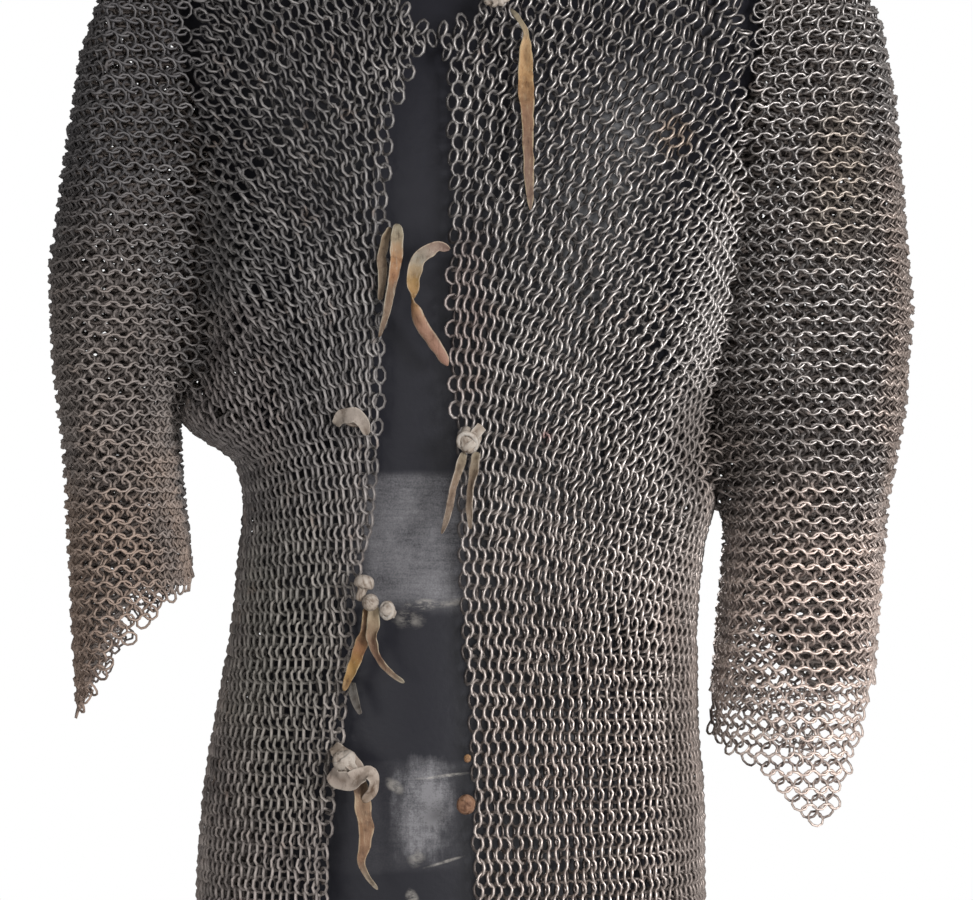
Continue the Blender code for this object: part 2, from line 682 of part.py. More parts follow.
def build_ties():
    """Builds the leather straps and knots along the open front."""
    for name, points in STRAPS.items():
        add_strap(name, points)
    for name, knot in KNOTS.items():
        add_knot(name, knot)


clear_scene()
build_form()
build_mail()
build_ties()
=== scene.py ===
"""An open-fronted mail hauberk on a limbless torso form: linked rings laid row by row, with leather ties.

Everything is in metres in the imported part's own frame, except the rows that table() takes and those whose
comment says millimetres. Z is up, the open front faces -Y, and left and right are as seen from the front.
"""

import math
from collections import namedtuple

import bmesh
import bpy
import numpy as np
from bpy.props import FloatProperty, FloatVectorProperty, IntProperty, PointerProperty
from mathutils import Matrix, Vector


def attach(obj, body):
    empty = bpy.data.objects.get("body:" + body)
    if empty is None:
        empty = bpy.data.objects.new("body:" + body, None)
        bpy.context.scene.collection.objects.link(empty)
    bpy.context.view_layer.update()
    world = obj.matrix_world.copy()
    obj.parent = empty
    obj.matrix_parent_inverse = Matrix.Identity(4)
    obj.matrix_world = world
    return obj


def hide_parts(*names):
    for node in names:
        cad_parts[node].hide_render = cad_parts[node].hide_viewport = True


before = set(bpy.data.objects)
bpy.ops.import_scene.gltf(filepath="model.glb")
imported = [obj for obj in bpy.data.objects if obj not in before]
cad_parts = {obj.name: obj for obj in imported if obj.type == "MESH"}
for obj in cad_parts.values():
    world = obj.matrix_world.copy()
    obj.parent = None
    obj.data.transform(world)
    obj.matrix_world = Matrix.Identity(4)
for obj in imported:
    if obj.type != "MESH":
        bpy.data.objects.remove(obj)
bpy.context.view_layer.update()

bl_info = {
    "name": "Mail Hauberk",
    "version": (1, 0, 0),
    "blender": (4, 5, 0),
    "location": "3D View > Sidebar > Hauberk",
    "description": "Lays the rings, ties the leather and shapes the torso form of a mail hauberk",
    "category": "Object",
}

MM = 0.001


# ---------------------------------------------------------------------------------------------------------
# The garment's own surfaces


def table(columns, rows):
    """Turns rows of millimetres into an array of metres for each named column. A turn stays in degrees."""
    named = zip(columns.split(), np.array(rows, float).T)
    return {name: column if name == "turn" else column / 1000 for name, column in named}


ROUNDNESS = 0.88  # below 1, a cross-section is squarer than an ellipse
HEM_HEIGHT = 0.062
NECK_HEIGHT = 0.862
ARMHOLE_TOP = 0.825
ARMPITS = {-1: 0.492, 1: 0.432}
TUCK_WIDTH = 0.019  # half width of the fold where a sleeve leaves the chest
TUCK_DEPTH = 0.36
TUCK_TOP = 0.705
CUFF_LOW_POINT = 0.64  # where a cuff hangs lowest, as a share of the way from its underarm to its outside

BODY = table("height left right front back", [
    (62, 184, 157, 119, 114),
    (163, 181, 155, 117, 113),
    (230, 177, 154, 114, 109),
    (290, 168, 150, 110, 104),
    (345, 158, 149, 108, 101),
    (400, 152, 154, 109, 101),
    (432, 149, 161, 111, 103),
    (460, 154, 167, 113, 105),
    (492, 192, 176, 115, 108),
    (540, 206, 194, 117, 111),
    (600, 213, 210, 118, 114),
    (660, 215, 215, 115, 115),
    (720, 214, 215, 106, 111),
    (760, 210, 211, 93, 103),
    (795, 201, 201, 78, 91),
    (825, 185, 185, 67, 78),
    (840, 150, 150, 64, 72),
    (852, 108, 108, 63, 68),
    (862, 76, 76, 63, 66),
])
FRONT_EDGES = table("height left right", [
    (62, -97, 3),
    (180, -91, 2),
    (240, -86.5, 1),
    (300, -78.5, -2),
    (345, -75, -6),
    (390, -71, -7),
    (405, -64.5, -8.5),
    (465, -57.5, -10),
    (540, -54, -14.4),
    (620, -50, -16),
    (687, -45, -16.5),
    (703, -37.5, -16.5),
    (722, -31, -17.5),
    (738, -20.5, -24.3),
    (761, -37, 5.7),
    (790, -46, 26),
    (825, -57, 46),
    (862, -67, 67),
])
ARMHOLES = {
    -1: table("height out", [
        (492, 192), (504, 184.5), (530, 180), (605, 178), (690, 181), (825, 185),
    ]),
    1: table("height out", [
        (432, 161), (460, 158), (500, 161), (534, 168), (580, 177), (640, 182), (825, 185),
    ]),
}
SLEEVE_COLUMNS = "outer_x outer_z inner_x inner_z front back sag"
SLEEVES = {
    -1: table(SLEEVE_COLUMNS, [
        (222, 811, 197, 490.5, 66, 72, 0),
        (246, 787, 199.5, 487, 78, 80, 0),
        (262, 738, 200, 482, 83, 84, 0),
        (272, 670, 199.5, 474, 85, 85, 0),
        (283, 592, 199, 464, 85, 85, 0),
        (281, 530, 198, 450, 84, 84, 0),
        (273, 468, 196, 433, 83, 83, 0),
        (270, 405, 193, 413, 81, 81, -2),
        (268, 345, 191, 394, 78, 79, -5),
        (265, 283, 189, 375, 75, 76, -10),
    ]),
    1: table(SLEEVE_COLUMNS, [
        (225, 812, 167, 430.5, 66, 72, 0),
        (254, 795, 171.5, 427, 79, 81, 0),
        (276, 763, 173.5, 422, 84, 85, 0),
        (286, 710, 174.5, 415, 86, 86, 0),
        (292, 642, 174.5, 406, 87, 87, 0),
        (298, 570, 173.5, 394, 88, 87, 0),
        (294, 500, 171.5, 376, 87, 86, 5),
        (282, 438, 169.5, 350, 85, 84, 18),
        (277, 378, 166.5, 318, 82, 81, 42),
        (273, 314, 161.5, 275, 78, 77, 84),
    ]),
}
# The ragged cuffs: how low the rings still reach at each distance out from the body's axis.
CUFF_EDGES = {
    -1: table("out height", [
        (186, 372), (198, 366.5), (209, 359), (211, 350), (222.5, 347), (223.5, 338.5), (236, 327),
        (237.5, 318), (249, 312), (251.5, 299), (259, 293), (264, 283), (272, 283),
    ]),
    1: table("out height", [
        (160, 277), (166, 269), (178, 259), (189, 257.5), (194, 244), (202, 237), (211, 233), (217, 225),
        (226, 219), (236, 218), (242.5, 229), (245, 243), (249, 250), (253, 262), (258, 273), (260, 285),
        (264, 296), (269, 306), (277, 312),
    ]),
}
# How low the folds inside the sleeves reach.
FOLD_EDGES = {
    -1: table("out height", [
        (186, 395), (205, 380), (232, 372), (243, 348), (254, 322), (272, 302),
    ]),
    1: table("out height", [
        (160, 296), (171, 300), (178, 342), (190, 356), (206, 352), (212, 322), (240, 312), (262, 318),
        (280, 330),
    ]),
}
FORM = table("height side front back", [
    (0, 146, 97, 92),
    (6, 150, 101, 96),
    (100, 150, 103, 99),
    (200, 147, 102, 96),
    (300, 141, 98, 90),
    (400, 141, 97, 88),
    (480, 148, 101, 92),
    (530, 160, 103, 96),
    (560, 166, 104, 98),
    (640, 173, 103, 101),
    (700, 187, 96, 99),
    (740, 198, 85, 91),
    (770, 202, 72, 82),
    (795, 192, 60, 70),
    (812, 165, 53, 62),
    (826, 125, 51, 58),
    (840, 86, 51, 56),
    (852, 64, 51, 55),
    (870, 58, 50, 53),
    (912, 57, 49, 52),
    (918, 54, 46, 49),
    (920, 48, 40, 43),
])


def smooth(columns, name, height):
    """A column of a table at some heights, by a monotone cubic that never overshoots its rows."""
    knots, values = columns["height"], columns[name]
    steps = np.diff(knots)
    slopes = np.diff(values) / steps
    tangents = np.zeros(len(knots))
    same_sign = slopes[:-1] * slopes[1:] > 0
    harmonic = 2 * slopes[:-1] * slopes[1:] / np.where(same_sign, slopes[:-1] + slopes[1:], 1.0)
    tangents[1:-1] = np.where(same_sign, harmonic, 0.0)
    tangents[0], tangents[-1] = slopes[0], slopes[-1]
    at = np.clip(height, knots[0], knots[-1])
    i = np.clip(np.searchsorted(knots, at, side="right") - 1, 0, len(steps) - 1)
    t = (at - knots[i]) / steps[i]
    rise = t * t * (3 - 2 * t)
    bend = steps[i] * (tangents[i] * t * (1 - t) ** 2 - tangents[i + 1] * t * t * (1 - t))
    return values[i] * (1 - rise) + values[i + 1] * rise + bend


def metres(*millimetres):
    """Lengths in metres."""
    return tuple(length / 1000 for length in millimetres)


def add_object(name, data):
    """Puts a mesh, a light or a camera into the scene."""
    item = bpy.data.objects.new(name, data)
    bpy.context.scene.collection.objects.link(item)
    return item


def ramp(value, low, high):
    """0 below low, 1 above high, and smooth between them."""
    t = np.clip((np.asarray(value, float) - low) / (high - low), 0, 1)
    return t * t * (3 - 2 * t)


def unit(vectors):
    """Vectors of length 1 with the same directions."""
    return vectors / np.maximum(np.linalg.norm(vectors, axis=-1, keepdims=True), 1e-12)


def tuck(x, height):
    """Share of the depth that is left where the chest folds in towards a sleeve."""
    left = 1.0
    for side in (-1, 1):
        rise = np.clip((height - ARMPITS[side]) / 0.05, 0, 1) * np.clip((TUCK_TOP - height) / 0.10, 0, 1)
        distance = (side * x - smooth(ARMHOLES[side], "out", height)) / TUCK_WIDTH
        left = left - TUCK_DEPTH * np.where(side * x > 0, rise * np.exp(-distance * distance), 0)
    return left


def body_point(angle, height, facing):
    """Points on the middle of the mail's body. angle runs from -90 degrees at the left side to 90 at the
    right; facing is -1 for the front and 1 for the back."""
    angle, height = np.broadcast_arrays(np.asarray(angle, float), np.asarray(height, float))
    reach = np.where(angle < 0, smooth(BODY, "left", height), smooth(BODY, "right", height))
    depth = smooth(BODY, "front" if facing < 0 else "back", height)
    x = reach * np.sin(angle)
    y = facing * depth * np.maximum(np.cos(angle), 0.0) ** ROUNDNESS * tuck(x, height)
    return np.stack([x, y, height], -1)


def angle_at(x, height):
    """The angle at which the body's section at a height reaches x."""
    reach = np.where(np.asarray(x) < 0, smooth(BODY, "left", height), smooth(BODY, "right", height))
    return np.arcsin(np.clip(x / reach, -1, 1))


def outer_angle(side, height):
    """The angle where a panel ends on one side: the side seam, the armhole or the shoulder ridge."""
    beside = (height > ARMPITS[side]) & (height < ARMHOLE_TOP)
    armhole = angle_at(side * smooth(ARMHOLES[side], "out", height), height)
    return np.where(beside, armhole, side * math.pi / 2)


def front_curve(side):
    """The front panel's upright curves: share is 0 at its open edge and 1 at its seam."""
    def curve(share, height):
        inner = np.sin(angle_at(smooth(FRONT_EDGES, "left" if side < 0 else "right", height), height))
        outer = np.sin(outer_angle(side, height))
        return body_point(np.arcsin(np.clip(inner + (outer - inner) * share, -1, 1)), height, -1)
    return curve


def back_curve(share, height):
    """The back panel's upright curves: share is 0 at the left seam and 1 at the right one."""
    left, right = outer_angle(-1, height), outer_angle(1, height)
    angle = math.pi * (share - 0.5)
    angle += (left + math.pi / 2) * np.clip(1 - 2 * share, 0, 1) ** 1.6
    angle += (right - math.pi / 2) * np.clip(2 * share - 1, 0, 1) ** 1.6
    return body_point(angle, height, 1)


def armhole_span(side):
    """The height of an armhole's middle, and half its height."""
    return (ARMHOLE_TOP + ARMPITS[side]) / 2, (ARMHOLE_TOP - ARMPITS[side]) / 2


def sleeve_point(side, facing, place, turn):
    """Points on a sleeve. place is 0 at the armhole, and then each loop's number; turn runs from 0 at the
    outside to pi at the underarm."""
    loops = SLEEVES[side]
    count = len(loops["sag"])
    middle, half = armhole_span(side)
    height = middle + half * np.cos(turn)
    armhole = body_point(outer_angle(side, height), height, facing)
    at = {name: np.interp(place, np.arange(1, count + 1), values) for name, values in loops.items()}
    for name, values in loops.items():
        at[name] = at[name] + np.maximum(place - count, 0) * (values[-1] - values[-2])
    out = (1 + np.cos(turn)) / 2
    hang = np.minimum(out / CUFF_LOW_POINT, (1 - out) / (1 - CUFF_LOW_POINT))
    x = at["inner_x"] + (at["outer_x"] - at["inner_x"]) * out
    z = at["inner_z"] + (at["outer_z"] - at["inner_z"]) * out - at["sag"] * hang
    depth = at["front"] if facing < 0 else at["back"]
    loop = np.stack([side * x, facing * depth * np.sin(turn), z], -1)
    share = np.minimum(place, 1.0)[..., None]
    return armhole * (1 - share) + loop * share


def sleeve_curve(side, facing):
    """A sleeve's level half rounds: height runs down the sleeve, and share from its outside to its inner end.
    Each point's fourth number is its place along the sleeve, of which the cuff is at 1."""
    count = len(SLEEVES[side]["sag"])
    middle, half = armhole_span(side)

    def curve(height, share):
        turn = share * np.arccos(np.clip((height - middle) / half, -1, 1))
        low, high = np.zeros_like(turn), np.full_like(turn, count + 2.0)
        for _ in range(24):
            place = (low + high) / 2
            above = sleeve_point(side, facing, place, turn)[..., 2] > height
            low, high = np.where(above, place, low), np.where(above, high, place)
        points = sleeve_point(side, facing, low, turn)
        return np.concatenate([points, low[..., None] / count], -1)
    return curve


def front_surface(x, height):
    """How far forward the mail's middle surface lies at a place on the front, or would over the opening."""
    return body_point(angle_at(x, height), height, -1)[..., 1]


# ---------------------------------------------------------------------------------------------------------
# Rings laid in rows over a surface

GRID_STEP = 0.002
ROW_SAMPLES = 500
CLOSEST_ROWS = 0.0037  # rows that would crowd closer than this lose every second pair
# Rings as arrays: middle, the way along the row, the way out, distances along and between rows, whether the
# row is an odd one, -1 or 1 at a row's ends, place on the flat panel, and shares of the usual lean and wire.
Rings = namedtuple("Rings", "centre along outward pitch spacing odd edge flat lie stout")


def even_grid(curve, shares, places):
    """Points at even steps along each of a surface's curves, and each curve's own length."""
    runs = []
    for share in shares:
        points = curve(share, places)
        steps = np.linalg.norm(np.diff(points[:, :3], axis=0), axis=1)
        runs.append((points, np.concatenate([[0.0], np.cumsum(steps)])))
    lengths = np.array([run[-1] for _, run in runs])
    at = np.arange(int(lengths.max() / GRID_STEP) + 8) * GRID_STEP
    grid = []
    for points, run in runs:
        inside = np.minimum(at, run[-1])
        row = np.stack([np.interp(inside, run, column) for column in points.T], -1)
        row[:, :3] += (at - inside)[:, None] * unit(points[-1, :3] - points[-3, :3])
        grid.append(row)
    return np.array(grid), lengths


def sample(grid, across, along):
    """Reads a grid between its points. across runs from 0 to 1, and along is in metres."""
    a = np.clip(across, 0, 1) * (grid.shape[0] - 1)
    b = np.clip(along / GRID_STEP, 0, grid.shape[1] - 1.001)
    i, j = np.minimum(a.astype(int), grid.shape[0] - 2), b.astype(int)
    fa, fb = (a - i)[..., None], (b - j)[..., None]
    return (grid[i, j] * (1 - fa) * (1 - fb) + grid[i + 1, j] * fa * (1 - fb)
            + grid[i, j + 1] * (1 - fa) * fb + grid[i + 1, j + 1] * fa * fb)


def level(start, across):
    """Rows that don't fall."""
    return np.zeros_like(across)


# What a panel's rows follow. starts are the rows' places along the grid's curves, area(points) is the surface
# that one ring takes, from which the pitch along a row follows, and pitches are the limits of that pitch.
# outward(points) is the way out, and margin keeps rings off the curves' two ends and the rows' two ends.
# fall(start, across) is how far a row has dropped below its start, anchor(points) picks the sample from which
# its rings are counted, span is the part of the grid it crosses, and inside(points) says which places are
# part of the panel.
LAY_FIELDS = "starts area pitches outward margin fall anchor span inside"
Lay = namedtuple("Lay", LAY_FIELDS, defaults=(level, None, (0.0, 1.0), None))
WIDEST_PITCH = {"front": 0.0112, "back": 0.0105, "sleeve": 0.0115, "fold": 0.0085}
MARGINS = {
    "front": (0.004, 0.003, 0.0035, 0.0015), "back_left": (0.004, 0.003, 0.0015, -0.001),
    "back_right": (0.004, 0.003, 0.0001, 0.0015), "sleeve": (0.001, 0.0055, 0.002, 0.002),
    "fold": (0.001, 0.002, 0.002, 0.002),
}


def lay_rows(grid, lengths, lay):
    """Lays rings in rows over a grid."""
    across = np.linspace(lay.span[0], lay.span[1], ROW_SAMPLES)
    limit = np.interp(across, np.linspace(0, 1, len(lengths)), lengths)
    steps = np.gradient(lay.starts)
    rows = range(len(lay.starts))
    return join_rings(*(lay_row(grid, lay, row, steps[row], across, limit) for row in rows))


def lay_row(grid, lay, number, step, across, limit):
    """Lays one row of rings, with the odd rows half a ring further on."""
    start = lay.starts[number]
    along = start - lay.fall(start, across)
    full = sample(grid, across, along)
    points = full[:, :3]
    beyond = start + GRID_STEP - lay.fall(start + GRID_STEP, across)
    ahead = unit(np.gradient(points, axis=0))
    away = sample(grid, across, beyond)[:, :3] - points
    normal = unit(np.cross(ahead, away))
    normal *= np.sign(np.sum(normal * lay.outward(points), -1, keepdims=True))
    rise = np.abs(np.sum(away * unit(np.cross(normal, ahead)), -1)) / GRID_STEP
    spacing = rise * step
    pitch = np.clip(lay.area(points) / spacing, lay.pitches[0], lay.pitches[1])
    length = np.linalg.norm(np.diff(points, axis=0), axis=1)
    count = np.concatenate([[0.0], np.cumsum(length * 2 / (pitch[1:] + pitch[:-1]))])
    if lay.anchor:
        count -= count[lay.anchor(points)]
    offset = 0.5 * (number % 2)
    wanted = np.arange(math.ceil(count[0] - offset), math.floor(count[-1] - offset) + 1) + offset
    at = np.interp(wanted, count, across)
    near = np.clip(np.round(np.interp(at, across, np.arange(ROW_SAMPLES))).astype(int), 0, ROW_SAMPLES - 1)
    place = np.interp(at, across, along)
    run = np.concatenate([[0.0], np.cumsum(length)])
    low, high, first, last = lay.margin
    keep = (place > low) & (place < np.interp(at, across, limit) - high)
    keep &= (run[near] > first) & (run[-1] - run[near] > last)
    keep &= (spacing[near] > CLOSEST_ROWS) | (number % 4 < 2)
    if lay.inside:
        keep &= lay.inside(full[near])
    exact = np.stack([np.interp(at, across, column) for column in points.T], -1)
    ends = np.zeros(len(wanted), int)
    if keep.any():
        ends[np.flatnonzero(keep)[[0, -1]]] = (-1, 1)
    near, kept = near[keep], int(keep.sum())
    return Rings(
        exact[keep], ahead[near], normal[near], pitch[near], spacing[near], np.full(kept, number % 2),
        ends[keep], np.stack([run[near], place[keep]], -1), np.ones(kept), np.ones(kept))


def join_rings(*groups):
    """Puts several groups of rings into one."""
    return Rings(*(np.concatenate(parts) for parts in zip(*groups)))


def waves(points, length, seed):
    """An even, smooth and irregular field between about -1 and 1."""
    draw = np.random.default_rng(seed)
    total = 0.0
    for _ in range(6):
        direction = unit(draw.normal(size=3)) / length * draw.uniform(0.6, 1.6)
        total = total + np.sin(points @ direction * 2 * math.pi + draw.uniform(0, 2 * math.pi))
    return total / 2.4


def add_field(mesh, name, parts):
    """Gives each point of a mesh a value under a name, from its parts' arrays."""
    values = np.concatenate([np.ravel(part) for part in parts]).astype(np.float32)
    mesh.attributes.new(name, "FLOAT", "POINT").data.foreach_set("value", values)


def quad_mesh(name, points, faces):
    """A smooth mesh of four-sided faces."""
    mesh = bpy.data.meshes.new(name)
    mesh.vertices.add(len(points))
    mesh.vertices.foreach_set("co", points.ravel())
    mesh.loops.add(faces.size)
    mesh.loops.foreach_set("vertex_index", faces.ravel())
    mesh.polygons.add(len(faces))
    mesh.polygons.foreach_set("loop_start", np.arange(0, faces.size, 4))
    mesh.polygons.foreach_set("use_smooth", np.ones(len(faces), bool))
    mesh.update(calc_edges=True)
    return mesh


def ring_mesh(name, parts, look):
    """Makes one mesh of linked rings, from parts of rings, segments and seed, with each ring's own tone, how
    far out each of its points lies, and the flat panels side by side as its UV map."""
    points, faces, tones, heights, layouts = [], [], [], [], []
    first, beside = 0, 0.0
    for rings, segments, seed in parts:
        corners, quads, tone, proud, layout = ring_shapes(rings, look, segments, seed)
        layout = layout - layout.reshape(-1, 2).min(0) + np.array([beside, 0.0])
        points.append(corners)
        faces.append(quads + first)
        tones.append(tone)
        heights.append(proud)
        layouts.append(layout)
        first += len(corners)
        beside = layout[..., 0].max() + 0.01
    mesh = quad_mesh(name, np.concatenate(points), np.concatenate(faces))
    add_field(mesh, "tone", tones)
    add_field(mesh, "proud", heights)
    layout = mesh.uv_layers.new(name="OFBake")
    uv = np.concatenate(layouts)
    low, high = uv.reshape(-1, 2).min(0), uv.reshape(-1, 2).max(0)
    layout.data.foreach_set("uv", (0.004 + 0.992 * (uv - low) / (high - low)).ravel().astype(np.float32))
    mesh.validate()
    return add_object(name, mesh)


# How unevenly the rings lie: degrees and metres of each ring's own scatter and of slow waves over the panel.
LEAN_SCATTER, LEAN_WAVE = 3.5, 4.0
SWAY_SCATTER, SWAY_WAVE = 5.0, 4.0
TIP_SCATTER = 5.0
PLACE_SCATTER, PLACE_WAVE = 0.32 * MM, 0.5 * MM
WIRE_SIDES = 3


def turned(first, second, angle):
    """Two square directions, turned towards each other by an angle."""
    cosine, sine = np.cos(angle)[:, None], np.sin(angle)[:, None]
    return first * cosine + second * sine, second * cosine - first * sine


def ring_stance(rings, look, draw, seed):
    """Each ring's middle, its lean, its own ways down and across, and the way that its flat side faces."""
    count = len(rings.centre)

    def uneven(scatter, wave, length, more):
        return scatter * draw.normal(size=count) + wave * waves(rings.centre, length, seed + more)

    lean = np.radians(look.lean - look.lean_loss * (rings.pitch / MM - look.tight_pitch / MM))
    lean *= np.where((rings.edge != 0) & (rings.odd == 0), draw.uniform(0.6, 1.0, count), 1.0) * rings.lie
    lean += np.radians(uneven(LEAN_SCATTER, LEAN_WAVE, 0.045, 1))
    sway = np.radians(uneven(SWAY_SCATTER, SWAY_WAVE, 0.06, 2))
    along, down = turned(rings.along, np.cross(rings.outward, rings.along), sway)
    outward, down = turned(rings.outward, down, np.radians(TIP_SCATTER) * draw.normal(size=count))
    sign = np.where(rings.odd == 1, -1.0, 1.0)
    across = along * np.cos(lean)[:, None] - outward * (np.sin(lean) * sign)[:, None]
    facing = np.cross(down, across)
    facing *= np.sign(np.sum(facing * outward, -1, keepdims=True))
    centre = rings.centre + along * uneven(PLACE_SCATTER, PLACE_WAVE, 0.035, 3)[:, None]
    centre = centre + down * uneven(PLACE_SCATTER, PLACE_WAVE, 0.04, 4)[:, None]
    return centre, lean, down, across, facing


def ring_shapes(rings, look, segments, seed):
    """The points and faces of linked rings, each point's tone and how far out it lies, and each face's
    corners on the flat panel."""
    draw = np.random.default_rng(seed)
    centre, lean, down, across, facing = ring_stance(rings, look, draw, seed)
    count, sides = len(centre), WIRE_SIDES
    wire = look.wire / 2 * look.fullness * rings.stout * draw.uniform(0.94, 1.06, count)
    radius = (look.ring_outside - look.wire) / 2 * draw.uniform(0.97, 1.03, count)
    squash = draw.uniform(0.965, 1.035, count)
    turn = draw.uniform(0, 2 * math.pi, count)[:, None] + np.arange(segments) * 2 * math.pi / segments
    radial = (
        down[:, None] * (np.cos(turn) * squash[:, None])[..., None]
        + across[:, None] * (np.sin(turn) / squash[:, None])[..., None]
    )
    front = math.pi / 2 - np.clip(lean, 0.2, 1.2)
    around = front[:, None] + np.arange(sides) * 2 * math.pi / sides
    reach = radius[:, None] + wire[:, None] * np.cos(around)
    points = (
        centre[:, None, None]
        + radial[:, :, None] * reach[:, None, :, None]
        + facing[:, None, None] * (wire[:, None] * np.sin(around))[:, None, :, None]
    )

    ring, segment, side = np.meshgrid(np.arange(count), np.arange(segments), np.arange(sides), indexing="ij")
    around_wire = ((segment, side), (segment + 1, side), (segment + 1, side + 1), (segment, side + 1))
    faces = np.stack([
        (ring * segments + at_segment % segments) * sides + at_side % sides
        for at_segment, at_side in around_wire
    ], -1).reshape(-1, 4)
    flip = ~(np.sum(np.cross(down, across) * facing, -1) > 0)[ring.ravel()]
    faces[flip] = faces[flip][:, ::-1]

    flat = rings.flat[ring.ravel()]
    uv = np.empty((len(faces), 4, 2))
    for k, (at_segment, at_side) in enumerate(around_wire):
        spread = radius[ring] + (at_side / sides - 0.5) * look.wire * 1.6
        angle = turn[ring, 0] + at_segment * 2 * math.pi / segments
        uv[:, k, 0] = flat[:, 0] + (np.sin(angle) * spread).ravel()
        uv[:, k, 1] = flat[:, 1] + (np.cos(angle) * spread).ravel()
    uv[flip] = uv[flip][:, ::-1]
    tone = np.repeat(draw.uniform(0, 1, count), segments * sides)
    proud = np.repeat(0.5 + 0.5 * np.sum(radial * rings.outward[:, None], -1).ravel(), sides)
    return points.reshape(-1, 3), faces, tone, proud, uv


# ---------------------------------------------------------------------------------------------------------
# Leather straps and knots

# x and z place a strap's middle, lift is how far it stands off the mail's middle surface, and turn is how
# far, in degrees, its flat side is turned away from the front.
STRAP_COLUMNS = "x z lift width turn"
NESTLED = 0.002  # how far all the leather has sunk in between the rings
STRAPS = {
    "tie_neck": table(STRAP_COLUMNS, [
        (27, 756, 12, 3.6, 10), (33, 748, 12.5, 3.2, 0), (37.2, 739, 12, 3.6, 0), (37, 730, 11.5, 7.6, -12),
        (36.8, 715, 11, 10, -6), (36.9, 699, 10.8, 10, 8), (37.3, 682, 10.6, 8, 14),
        (37.9, 666, 10.4, 7.4, 10), (38.6, 648, 10.2, 6.2, 5), (39.3, 634, 10, 4.6, 0),
        (39.6, 624, 9.8, 2.6, 0),
    ]),
    "tie_upper_left": table(STRAP_COLUMNS, [
        (-46.2, 615, 11, 6.2, 0), (-46.8, 605, 12.5, 8.6, 10), (-47.8, 590, 12.5, 8, 22),
        (-50.6, 574, 11.5, 6.6, 34), (-53.6, 558, 11, 5, 25), (-58.2, 542, 10.5, 2.4, 20),
    ]),
    "tie_upper_right": table(STRAP_COLUMNS, [
        (-12.5, 598.5, 10, 5.6, 30), (-19, 601, 12.5, 7.8, 34), (-26.2, 598.5, 14.5, 9.2, 26),
        (-32.2, 592.5, 15, 9.6, 14), (-35.2, 584.5, 14.5, 9.4, 5), (-36.4, 575, 13.5, 8, 12),
        (-36.4, 566.5, 12.5, 5.8, 88), (-34.2, 557, 12, 8.6, 158), (-29.2, 547, 11.5, 9.2, 168),
        (-22.2, 537, 11, 8, 166), (-16, 527.5, 10.5, 6.2, 172), (-13.8, 523.5, 10, 3.4, 174),
    ]),
    "tie_mid_right_a": table(STRAP_COLUMNS, [
        (-3.5, 468, 11.5, 5.2, 10), (-7.2, 456, 12.5, 6.2, 30), (-10.8, 444, 12.5, 5.8, 44),
        (-13, 432, 11.5, 4.6, 20), (-15.2, 422.5, 10.5, 3.8, 0), (-17.8, 415, 10, 2, 0),
    ]),
    "tie_mid_right_b": table(STRAP_COLUMNS, [
        (5, 468, 11.5, 5.4, -10), (3.4, 456, 12, 6.6, -30), (1.4, 443, 11.5, 5.8, -46),
        (0.4, 430, 10.8, 4.4, -20), (0.8, 418, 10.4, 2.8, 0),
    ]),
    "tie_mid_left_a": table(STRAP_COLUMNS, [
        (-66.8, 367, 12, 6, 20), (-67.2, 355, 12.5, 6.6, 25), (-69.8, 343, 12, 8.4, -10),
        (-74.2, 331, 11.5, 7.8, -20), (-78.5, 320.5, 11, 5.8, 0), (-81.5, 312.5, 10.6, 2.6, 0),
    ]),
    "tie_mid_left_b": table(STRAP_COLUMNS, [
        (-61.8, 369, 14, 6.4, 0), (-61.8, 360, 15.5, 8.6, -10), (-62.2, 350, 16, 8.4, -26),
        (-60.6, 340, 15.5, 6.2, -38), (-56, 331, 14, 4.6, -30), (-49, 323.5, 12.5, 3.4, -10),
        (-42, 318.5, 11.5, 2.6, 0),
    ]),
    "tie_low_left": table(STRAP_COLUMNS, [
        (-72.2, 256, 11.6, 8.8, 0), (-69.4, 246.5, 12.2, 10.2, 8), (-68.4, 235, 12.6, 10.8, 16),
        (-67.4, 222.5, 12.2, 10.2, 26), (-69, 211, 11.5, 7.6, 24), (-69.6, 203, 11, 5.4, -10),
        (-66.5, 195, 10.8, 4.2, -20), (-59.2, 185, 10.4, 2.2, 0),
    ]),
    "fold_upper_left": table(STRAP_COLUMNS, [
        (-50.8, 613, 8.5, 5, 30), (-55.2, 604, 9.5, 7.2, 35), (-57, 593, 9.5, 6.6, 30),
        (-56.2, 580, 9.2, 6, 20), (-58, 566, 8.8, 3.4, 20),
    ]),
    "loop_low_left_a": table(STRAP_COLUMNS, [
        (-88.5, 276.5, 9, 7, 0), (-84.5, 272.5, 11.5, 10, 15), (-79, 269, 13.5, 11, 20),
        (-73.5, 264, 14, 10, 10), (-69, 259, 13, 7, 0),
    ]),
    "loop_low_left_b": table(STRAP_COLUMNS, [
        (-89.5, 261, 10.5, 9.2, -25), (-84.5, 256, 13, 12.4, -15), (-77.5, 254.5, 15, 12.4, 5),
        (-70.5, 258, 16, 11.6, 25), (-65.2, 259.2, 16.2, 11, 40), (-62, 254.5, 15.8, 9.8, 55),
        (-63, 249, 15, 8.4, 40), (-66, 244.8, 14, 6.4, 15), (-68.8, 241.8, 13.2, 4.6, 0),
    ]),
    "end_mid_left": table(STRAP_COLUMNS, [
        (-76, 318, 8.5, 4, 0), (-75.2, 310, 9.2, 5.6, 10), (-72.8, 303, 9.2, 4.8, 0),
        (-70.6, 297.5, 8.8, 2.6, 0),
    ]),
}
